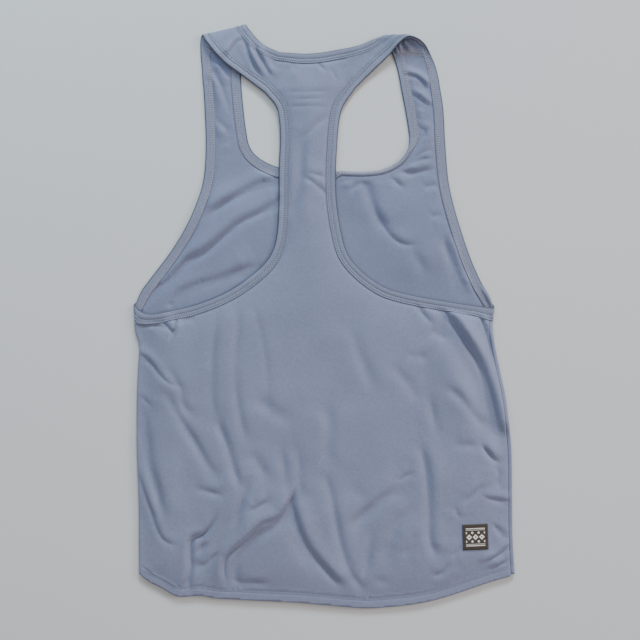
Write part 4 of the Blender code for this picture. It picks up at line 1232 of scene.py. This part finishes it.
def jersey_material(name, colour, contrast=0.07, band=False):
    """Fine jersey: columns of knit loops, a soft sheen and a little unevenness of dye.

    A band's jersey is also drawn together in ribs under its stitches. It also
    carries painted shade: its colour is darkened in the grooves beside the
    stitches, between the ribs, along its rim and along its inner edge.
    """
    material, tree, shader = new_material(name)
    place = tree.place()
    x, y, z = tree.split(place)
    loops = x.wave(KNIT_COLUMN) * (y * (2 * pi / KNIT_COURSE) + z * KNIT_LEAN).math("SINE")
    grain, cloud, slub, melange = [tree.noise(place, scale, detail) for scale, detail in JERSEY_NOISE]
    darker, lighter = opaque(colour, 1 - contrast), opaque(colour, 1 + contrast)
    share = (cloud - 0.5) * 1.4 + (slub - 0.5) * 0.7 + (grain - 0.5) * 1.1 + loops * 0.05
    share = share + (melange - 0.5) * 2.2 + 0.5
    tint = tree.mix(share.math("MINIMUM", 1.0).math("MAXIMUM", 0.0), darker, lighter)
    relief = loops * 0.5 + grain * 0.8 + slub * 0.9
    if band:
        across, along, _ = tree.split(tree.node("ShaderNodeUVMap", {"uv_map": "band"}))
        share = across.math("ABSOLUTE")
        outside = tree.ramp(across, -0.02, 0.02) * 0.8 + 0.2
        # where the stitches draw the band in: this shapes its bump and places painted shade
        grooves = tree.hump(share - STITCH_ROWS[0], 0.030) + tree.hump(share - STITCH_ROWS[1], 0.030)
        # painted shade: a dark line along the band's inner edge, where it meets its panel
        edge = tree.ramp(share, 0.93, 0.985)
        # painted shade: a dark line along the band's rim
        rim = 1.0 - tree.ramp(share, 0.06, 0.15)
        ribs = along.wave(RIB_PITCH / BINDING_WIDTH) * 0.5 + 0.5
        between_rows = tree.hump(share - RIBS_SPOT[0], 0.14)
        # painted shade in the stitched grooves and between the ribs, weaker on the inside
        sewn = (grooves * 0.60 + ribs * between_rows * 0.26) * outside
        shade = (sewn + edge * 0.52 + rim * 0.90).math("MINIMUM", 0.88)
        # the painted shade darkens the jersey's colour toward 0.22 of itself
        tint = tree.mix(shade, tint, opaque(colour, 0.22))
        relief = relief + ribs * between_rows * 2.0 - grooves * 2.0
    bump = tree.bump(relief, strength=0.35, distance=0.00012)
    rough = 0.60 + (grain - 0.5) * 0.18
    finish_shader(tree, shader, {"Base Color": tint, "Normal": bump, "Roughness": rough},
                  {"Sheen Weight": 0.22, "Sheen Roughness": 0.45, "Specular IOR Level": 0.32})
    return material


def thread_material(name, colour):
    """Twisted sewing thread."""
    material, tree, shader = new_material(name)
    place = tree.place()
    x, y, _ = tree.split(place)
    grain = tree.noise(place, scale=500.0, detail=2.0)
    tint = tree.mix(grain, opaque(colour, 0.82), opaque(colour))
    bump = tree.bump((x + y).wave(THREAD_TWIST) + grain, strength=0.4, distance=0.0001)
    finish_shader(tree, shader, {"Base Color": tint, "Normal": bump},
                  {"Roughness": 0.55, "Sheen Weight": 0.15})
    return material


def label_material(name, ground, figure):
    """Woven label: lozenges between fine lines on a plain ground, in one weave."""
    material, tree, shader = new_material(name)
    place = tree.place()
    centre = plan(LABEL_CENTRE) + CENTRING[:2]
    turned = tree.node("ShaderNodeMapping", {"vector_type": "TEXTURE"},
                       {"Vector": place, "Location": (*centre, 0.0), "Rotation": (0.0, 0.0, LABEL_TURN)})
    x, y, _ = tree.split(turned)
    u, v = x / LABEL_SIDE, y / LABEL_SIDE
    from_row = v.math("ABSOLUTE")

    def line(distance, half):
        return tree.ramp(distance.math("ABSOLUTE"), half + LINE_SOFTNESS, half - LINE_SOFTNESS)

    def from_column(shift):
        return ((u * LABEL_COLUMNS + shift).math("FRACT") - 0.5).math("ABSOLUTE") / LABEL_COLUMNS

    outer_rule, inner_rule = [line(from_row - row, half) for row, half in LABEL_RULES]
    rules = outer_rule.math("MAXIMUM", inner_rule)
    from_middle = from_column(0.5) + from_row
    lozenges = line(from_middle, LOZENGE_OUTER) - line(from_middle, LOZENGE_INNER)
    seeds = line(from_column(0.0) + (from_row - SEED_ROW).math("ABSOLUTE"), SEED_SIZE)
    motif = rules.math("MAXIMUM", lozenges).math("MAXIMUM", seeds) * line(u, ORNAMENT_HALF)
    weave = x.wave(LABEL_WARP) * y.wave(LABEL_WEFT)
    grain = tree.noise(place, scale=1400.0, detail=2.0)
    dark = tree.mix(grain, opaque(ground, 0.7), opaque(ground))
    light = tree.mix(grain, opaque(figure, 0.94), opaque(figure))
    bump = tree.bump(weave * 0.6 + grain * 0.5 + motif * 0.8, strength=0.5, distance=0.0002)
    finish_shader(tree, shader, {"Base Color": tree.mix(motif, dark, light), "Normal": bump},
                  {"Roughness": 0.62, "Sheen Weight": 0.10})
    return material


def plain_material(name, colour, roughness):
    """Even finish of the floor."""
    material, tree, shader = new_material(name)
    finish_shader(tree, shader, {}, {"Base Color": opaque(colour), "Roughness": roughness})
    return material


# Stitching, made by Geometry Nodes from points that carry their directions

STITCH_INPUTS = (("Stitch length", "Float"), ("Thread width", "Float"), ("Ladder width", "Float"),
                 ("Unevenness", "Float"), ("Seed", "Int"), ("Thread", "Material"))


def input_sockets(nodes):
    """Named inputs of a stitching tree, by name their identifiers."""
    face = nodes.interface
    face.new_socket(name="Geometry", in_out="INPUT", socket_type="NodeSocketGeometry")
    made = {name: face.new_socket(name=name, in_out="INPUT", socket_type="NodeSocket" + kind).identifier
            for name, kind in STITCH_INPUTS}
    face.new_socket(name="Geometry", in_out="OUTPUT", socket_type="NodeSocketGeometry")
    return made


def capsule(tree, length, width, height, turn=0.0, shift=(0.0, 0.0, 0.0)):
    """A low round thread of a few faces, lying along x."""
    ball = tree.node("GeometryNodeMeshUVSphere", values={"Segments": 6, "Rings": 5, "Radius": 0.5})
    size = tree.vector(length, width, height)
    return tree.node("GeometryNodeTransform", values={"Geometry": ball, "Scale": size,
                                                      "Rotation": (0.0, 0.0, turn), "Translation": shift})


def stitch_tree(name, looper):
    """Tree that sews a stitch on each point; with looper, the ladder of threads on the wrong side."""
    nodes = bpy.data.node_groups.new(name, "GeometryNodeTree")
    identifiers = input_sockets(nodes)
    tree = Tree(nodes)
    entry = nodes.nodes.new("NodeGroupInput")
    fed = {socket.name: Signal(tree, socket) for socket in entry.outputs}
    length, width, ladder = fed["Stitch length"], fed["Thread width"], fed["Ladder width"]
    if looper:
        rail, rung = length * 1.02, ladder * 1.12
        join = nodes.nodes.new("GeometryNodeJoinGeometry")
        for part in (capsule(tree, rail, width, width * 0.8, 0.0, tree.vector(0.0, ladder * 0.5)),
                     capsule(tree, rail, width, width * 0.8, 0.0, tree.vector(0.0, ladder * -0.5)),
                     capsule(tree, rung, width * 0.85, width * 0.8, LADDER_LEAN),
                     capsule(tree, rung, width * 0.85, width * 0.7, -LADDER_LEAN)):
            nodes.links.new(part.socket, join.inputs[0])
        stitch = Signal(tree, join.outputs[0])
    else:
        stitch = capsule(tree, length, width, width * 0.75)
    along, upward = [tree.node("GeometryNodeInputNamedAttribute", {"data_type": "FLOAT_VECTOR"},
                               {"Name": direction}) for direction in ("along", "upward")]
    facing = tree.node("FunctionNodeAxesToRotation", {"primary_axis": "X", "secondary_axis": "Z"},
                       {0: along, 1: upward})
    sway = tree.node("FunctionNodeRandomValue", {"data_type": "FLOAT"},
                     {2: fed["Unevenness"] * -1.0, 3: fed["Unevenness"], "Seed": fed["Seed"]}, output=1)
    turn = tree.node("FunctionNodeEulerToRotation", values={0: tree.vector(0.0, 0.0, sway * 0.5)})
    facing = tree.node("FunctionNodeRotateRotation", {"rotation_space": "LOCAL"}, {0: facing, 1: turn})
    sewn = tree.node("GeometryNodeInstanceOnPoints",
                     values={"Points": fed["Geometry"], "Instance": stitch, "Rotation": facing,
                             "Scale": tree.vector(1.0 - sway * 0.6, 1.0, 1.0)})
    real = tree.node("GeometryNodeRealizeInstances", values={0: sewn})
    dressed = tree.node("GeometryNodeSetMaterial", values={"Geometry": real, "Material": fed["Thread"]})
    leave = nodes.nodes.new("NodeGroupOutput")
    nodes.links.new(dressed.socket, leave.inputs[0])
    return nodes, identifiers


def sew(name, lines, thread, looper=False, length=None):
    """A piece of stitching from lines of (points, along, upward)."""
    sizes = bpy.context.scene.stringer_sizes
    nodes, identifiers = stitch_tree(name + "_tree", looper)
    points = np.vstack([line[0] for line in lines]) + CENTRING
    mesh = bpy.data.meshes.new(name)
    mesh.from_pydata([tuple(point) for point in points], [], [])
    for label, column in (("along", 1), ("upward", 2)):
        vectors = np.vstack([line[column] for line in lines]).astype(np.float32)
        mesh.attributes.new(label, "FLOAT_VECTOR", "POINT").data.foreach_set("vector", vectors.ravel())
    piece = add_object(name, mesh)
    sewing = piece.modifiers.new("stitches", "NODES")
    sewing.node_group = nodes
    feed = (length or sizes.stitch_pitch * (1.0 if looper else STITCH_SHARE), sizes.thread_width,
            sizes.binding_width * (STITCH_ROWS[1] - STITCH_ROWS[0]), UNEVENNESS, sizes.seed, thread)
    for (label, _), value in zip(STITCH_INPUTS, feed):
        sewing[identifiers[label]] = value
    return settle(piece)


def stations(points, normals, pitch, closed):
    """Points at a pitch along a line on a surface, with their directions."""
    if closed:
        points, normals = np.vstack([points, points[:1]]), np.vstack([normals, normals[:1]])
    travelled = travel(points)
    count = max(2, round(travelled[-1] / pitch))
    wanted = (np.arange(count) + 0.5) / count * travelled[-1]
    spots = at_distances(wanted, travelled, points)
    return spots, unit(np.gradient(spots, axis=0)), unit(at_distances(wanted, travelled, normals))


def band_column(rows, normal, share):
    """The line along a band at a share of its width, and its normals."""
    columns = np.arange(len(BAND_SHARES))
    place = np.interp(share, BAND_SHARES, columns)
    low = int(place)
    high, part = min(low + 1, len(columns) - 1), place - low
    return (rows[:, low] * (1 - part) + rows[:, high] * part,
            normal[:, low] * (1 - part) + normal[:, high] * part)


def band_stitches(rows, side, rib, pitch):
    """Lines of stitches on one side of a binding: the outer rows, or the ladder inside."""
    normal = band_normals(rows)
    lines = []
    for share in STITCH_ROWS if side == "outer" else (sum(STITCH_ROWS) / 2,):
        line, up = band_column(rows, normal, share)
        outer, inner = band_thickness(np.array([share]), 0.0, rib)
        lift, facing = (outer[0], up) if side == "outer" else (inner[0] + LADDER_LIFT, -up)
        line = line + facing * lift
        line[:, 2] = np.maximum(line[:, 2], LOWEST_STITCH)
        lines.append(stations(line, facing, pitch, True))
    return lines


def across_strap(strap, place, pitch):
    """The overcast edge of a shoulder seam, across the inside of a strap."""
    edge = band_share(strap, [place], BINDING_WIDTH - TUCK)[0]
    shares = np.linspace(edge, 1 - edge, 25)
    near = strap_surface(strap, [place - 0.05, place, place + 0.05], shares)
    normal = unit(np.cross(near[2] - near[0], np.gradient(near[1], axis=0)))
    normal *= np.where(normal[:, 2:] < 0, -1, 1)
    line = near[1] + normal * (SHELL / 2 + OVERCAST_LIFT)
    return stations(line, normal, pitch, False)


def layer_stitches(plan_line, height, pitch, facing=1):
    """A line of stitches on a layer."""
    flat = evenly(plan_line, pitch / 2)
    x, y = flat.T
    reach = 0.001
    slope_x = (height(x + reach, y) - height(x - reach, y)) / (2 * reach)
    slope_y = (height(x, y + reach) - height(x, y - reach)) / (2 * reach)
    up = unit(np.column_stack([-slope_x, -slope_y, np.ones_like(x)]))
    points = np.column_stack([flat, height(x, y)]) + up * facing * SHELL / 2
    points[:, 2] = np.maximum(points[:, 2], LOWEST_STITCH)
    return stations(points, up * facing, pitch, False)


# Sizes and colours that a user would change

class StringerSizes(PropertyGroup):
    """Sizes of the fine form."""

    shell: FloatProperty(name="Cloth thickness", description="Thickness of the panels' cloth",
                         default=SHELL, unit="LENGTH")
    binding_width: FloatProperty(name="Binding width", description="Width of the bindings",
                                 default=BINDING_WIDTH, unit="LENGTH")
    rib: FloatProperty(name="Rib height", description="Height of the binding's outer rib over its middle",
                       default=0.0012, unit="LENGTH")
    stitch_pitch: FloatProperty(name="Stitch pitch", description="Distance from one stitch to the next",
                                default=0.0029, unit="LENGTH")
    thread_width: FloatProperty(name="Thread width", description="Width of a laid thread",
                                default=0.00075, unit="LENGTH")
    seed: IntProperty(name="Seed", description="Fixes the unevenness of the stitches", default=7)


class StringerColours(PropertyGroup):
    """Colours of the finishes, linear."""

    cloth: FloatVectorProperty(name="Cloth", description="Colour of the panels' jersey", subtype="COLOR",
                               default=(0.2235, 0.2430, 0.3490))
    binding: FloatVectorProperty(name="Binding", description="Colour of the bindings' jersey",
                                 subtype="COLOR", default=(0.222, 0.242, 0.338))
    thread: FloatVectorProperty(name="Thread", description="Colour of the outer thread", subtype="COLOR",
                                default=(0.520, 0.560, 0.680))
    # partly painted shade: the hem's thread is made dark so that it also stands for the shade in the hem's
    # stitched grooves; the label's stitches take the same thread
    hem_thread: FloatVectorProperty(name="Hem thread", description="Colour of the thread in the hem",
                                    subtype="COLOR", default=(0.100, 0.115, 0.165))
    looper: FloatVectorProperty(name="Inner thread", description="Colour of the thread on the wrong side",
                                subtype="COLOR", default=(0.47, 0.445, 0.53))
    label_ground: FloatVectorProperty(name="Label", description="Ground of the woven label",
                                      subtype="COLOR", default=(0.060, 0.038, 0.022))
    label_figure: FloatVectorProperty(name="Label figure", description="Figure of the woven label",
                                      subtype="COLOR", default=(1.0, 0.98, 0.88))
    floor: FloatVectorProperty(name="Floor", description="Colour of the floor", subtype="COLOR",
                               default=(0.72, 0.71, 0.69))


def dress(piece, slot, *nodes):
    """Makes a piece ride with the garment and stand for its nodes, whose parts it hides; its slot is not
    used.
    """
    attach(piece, "root")
    if nodes:
        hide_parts(*nodes)
    return piece


def threads():
    """The thread materials, made once."""
    colours = bpy.context.scene.stringer_colours
    made = (("outer_thread", colours.thread), ("inner_thread", colours.looper),
            ("hem_thread", colours.hem_thread))
    for name, colour in made:
        if name not in bpy.data.materials:
            thread_material(name, colour)
    return [bpy.data.materials[name] for name, _ in made]


class STRINGER_OT_stage(Operator):
    """Adds the floor, the soft lights and the camera"""

    bl_idname = "stringer.stage"
    bl_label = "Stage"

    def execute(self, context):
        colours = context.scene.stringer_colours
        mesh_data = bmesh.new()
        bmesh.ops.create_grid(mesh_data, x_segments=1, y_segments=1, size=FLOOR_HALF)
        bmesh.ops.translate(mesh_data, verts=mesh_data.verts, vec=Vector((0, 0, FLOOR_LEVEL)))
        floor = place_object("floor", mesh_data, plain_material("floor_finish", colours.floor, 0.9))
        for row in LIGHTS:
            lamp = bpy.data.lights.new(row.name, "AREA")
            lamp.color, lamp.size, lamp.energy = row.colour, row.size, row.power
            light = add_object(row.name, lamp)
            light.location = row.place
            light.rotation_euler = (Vector(row.aim) - Vector(row.place)).to_track_quat("-Z", "Y").to_euler()
        world = bpy.data.worlds.new("soft_daylight")
        world.use_nodes = True
        background = world.node_tree.nodes["Background"]
        background.inputs["Color"].default_value = opaque(SKY_COLOUR)
        background.inputs["Strength"].default_value = SKY_STRENGTH
        context.scene.world = world
        lens = bpy.data.cameras.new("overhead")
        lens.lens, lens.sensor_width = LENS, SENSOR
        camera = add_object("overhead", lens)
        distance = VIEW_STEPS * STEP * LENS / SENSOR
        camera.location = (*(plan(VIEW_CENTRE) + CENTRING[:2]), distance + SHARP_LEVEL)
        context.scene.camera = camera
        return {"FINISHED"}


class STRINGER_OT_back_panel(Operator):
    """Makes the back panel with its racer straps"""

    bl_idname = "stringer.back_panel"
    bl_label = "Back panel"

    def execute(self, context):
        sizes, colours = context.scene.stringer_sizes, context.scene.stringer_colours
        jersey = jersey_material("back_jersey", colours.cloth)
        piece = give_wall(place_object("back_cloth", panel_mesh("back"), jersey), sizes.shell)
        dress(piece, "jersey", "back_panel")
        return {"FINISHED"}


class STRINGER_OT_front_panel(Operator):
    """Makes the front panel, which lies under the back with its inside up"""

    bl_idname = "stringer.front_panel"
    bl_label = "Front panel"

    def execute(self, context):
        sizes, colours = context.scene.stringer_sizes, context.scene.stringer_colours
        inside = [part * share for part, share in zip(colours.cloth, INSIDE_TINT)]
        jersey = jersey_material("front_jersey", inside)
        piece = give_wall(place_object("front_cloth", panel_mesh("front"), jersey), sizes.shell)
        dress(piece, "jersey", "front_panel")
        return {"FINISHED"}


class STRINGER_OT_bindings(Operator):
    """Makes the neck and armhole bindings"""

    bl_idname = "stringer.bindings"
    bl_label = "Bindings"

    def execute(self, context):
        sizes, colours = context.scene.stringer_sizes, context.scene.stringer_colours
        jersey = jersey_material("binding_cloth", colours.binding, band=True)
        outer_thread, inner_thread, _ = threads()
        for name, rows in bands().items():
            piece = place_object(name + "_cloth", band_mesh(rows, sizes.rib), jersey)
            dress(piece, "binding_jersey", name)
            lines = band_stitches(rows, "outer", sizes.rib, sizes.stitch_pitch)
            dress(sew(name + "_stitches", lines, outer_thread), "binding_jersey")
            lines = band_stitches(rows, "inner", sizes.rib, sizes.stitch_pitch)
            dress(sew(name + "_ladder", lines, inner_thread, looper=True), "binding_jersey")
        return {"FINISHED"}


class STRINGER_OT_seams(Operator):
    """Sews the hems and overcasts the shoulder seams"""

    bl_idname = "stringer.seams"
    bl_label = "Hem and shoulder stitching"

    def execute(self, context):
        sizes = context.scene.stringer_sizes
        # the dark hem thread, which also stands for the painted shade of the hem's grooves
        hem_thread = threads()[2]
        lines = []
        for inset in HEM_ROWS:
            for height, facing, stagger in ((upper_height, 1, 0.0), (lower_height, -1, HEM_STAGGER)):
                line = hem_line(inset + stagger)[UNSEWN:-UNSEWN]
                lines.append(layer_stitches(line, height, sizes.stitch_pitch, facing))
        dress(sew("hem_stitches", lines, hem_thread), "jersey")
        lines = [across_strap(strap, seam + offset, OVERCAST_PITCH)
                 for strap, seam in SHOULDER_SEAMS for offset in OVERCAST_OFFSETS]
        dress(sew("shoulder_overcast", lines, threads()[1], looper=True, length=OVERCAST_PITCH), "jersey")
        return {"FINISHED"}


class STRINGER_OT_label(Operator):
    """Makes the woven label on the back, and sews it on"""

    bl_idname = "stringer.label"
    bl_label = "Label"

    def execute(self, context):
        colours = context.scene.stringer_colours
        side = np.linspace(-LABEL_SIDE / 2, LABEL_SIDE / 2, LABEL_CELLS + 1)
        across, along = (axis.ravel() for axis in np.meshgrid(side, side))
        centre_x, centre_y = plan(LABEL_CENTRE)
        x = centre_x + across * cos(LABEL_TURN) - along * sin(LABEL_TURN)
        y = centre_y + across * sin(LABEL_TURN) + along * cos(LABEL_TURN)
        rim = np.maximum(np.abs(across), np.abs(along)) / (LABEL_SIDE / 2)
        z = upper_height(x, y) + LABEL_LIFT - LABEL_RIM_DROP * ease((rim - 0.9) / 0.1)
        mesh_data = bmesh.new()
        add_rows(mesh_data, np.column_stack([x, y, z]).reshape(len(side), len(side), 3))
        finish_surface(mesh_data, True)
        woven = label_material("label_weave", colours.label_ground, colours.label_figure)
        piece = give_wall(place_object("label_cloth", mesh_data, woven), LABEL_SHELL)
        dress(piece, "woven_label", "label")
        corner = LABEL_SIDE / 2 - LABEL_STITCH_INSET
        turn = np.array([[cos(LABEL_TURN), sin(LABEL_TURN)], [-sin(LABEL_TURN), cos(LABEL_TURN)]])
        lines = []
        for edge in (-corner, corner):
            ends = np.array([(edge, -corner), (edge, corner)]) @ turn + plan(LABEL_CENTRE)
            line = evenly(ends, LABEL_STITCH_PITCH / 3)
            up = np.tile((0.0, 0.0, 1.0), (len(line), 1))
            top = np.column_stack([line, upper_height(*line.T) + LABEL_LIFT + LABEL_SHELL / 2])
            lines.append(stations(top, up, LABEL_STITCH_PITCH, False))
        dress(sew("label_stitches", lines, threads()[2], length=LABEL_STITCH_PITCH * 0.55), "woven_label")
        return {"FINISHED"}


class STRINGER_PT_panel(Panel):
    """Lists the pieces of the garment and their sizes."""

    bl_idname = "STRINGER_PT_panel"
    bl_label = "Stringer tank top"
    bl_space_type = "VIEW_3D"
    bl_region_type = "UI"
    bl_category = "Stringer"

    def draw(self, context):
        layout = self.layout
        for group in (context.scene.stringer_sizes, context.scene.stringer_colours):
            for name in group.__annotations__:
                layout.prop(group, name)
        for operator in OPERATORS:
            layout.operator(operator.bl_idname)


@lru_cache(maxsize=None)
def bands():
    """Rows of the three bindings, by the node that each stands for."""
    return {"armhole_binding_left": armhole_band("left"),
            "armhole_binding_right": armhole_band("right"),
            "neck_binding": neck_band()}


OPERATORS = (STRINGER_OT_stage, STRINGER_OT_front_panel, STRINGER_OT_back_panel, STRINGER_OT_bindings,
             STRINGER_OT_seams, STRINGER_OT_label)
CLASSES = (StringerSizes, StringerColours, *OPERATORS, STRINGER_PT_panel)


def register():
    for part in CLASSES:
        bpy.utils.register_class(part)
    bpy.types.Scene.stringer_sizes = PointerProperty(type=StringerSizes)
    bpy.types.Scene.stringer_colours = PointerProperty(type=StringerColours)


def unregister():
    del bpy.types.Scene.stringer_colours
    del bpy.types.Scene.stringer_sizes
    for part in reversed(CLASSES):
        bpy.utils.unregister_class(part)


def main():
    register()
    bpy.ops.stringer.stage()
    bpy.ops.stringer.front_panel()
    bpy.ops.stringer.back_panel()
    bpy.ops.stringer.bindings()
    bpy.ops.stringer.seams()
    bpy.ops.stringer.label()


if __name__ == "__main__":
    main()
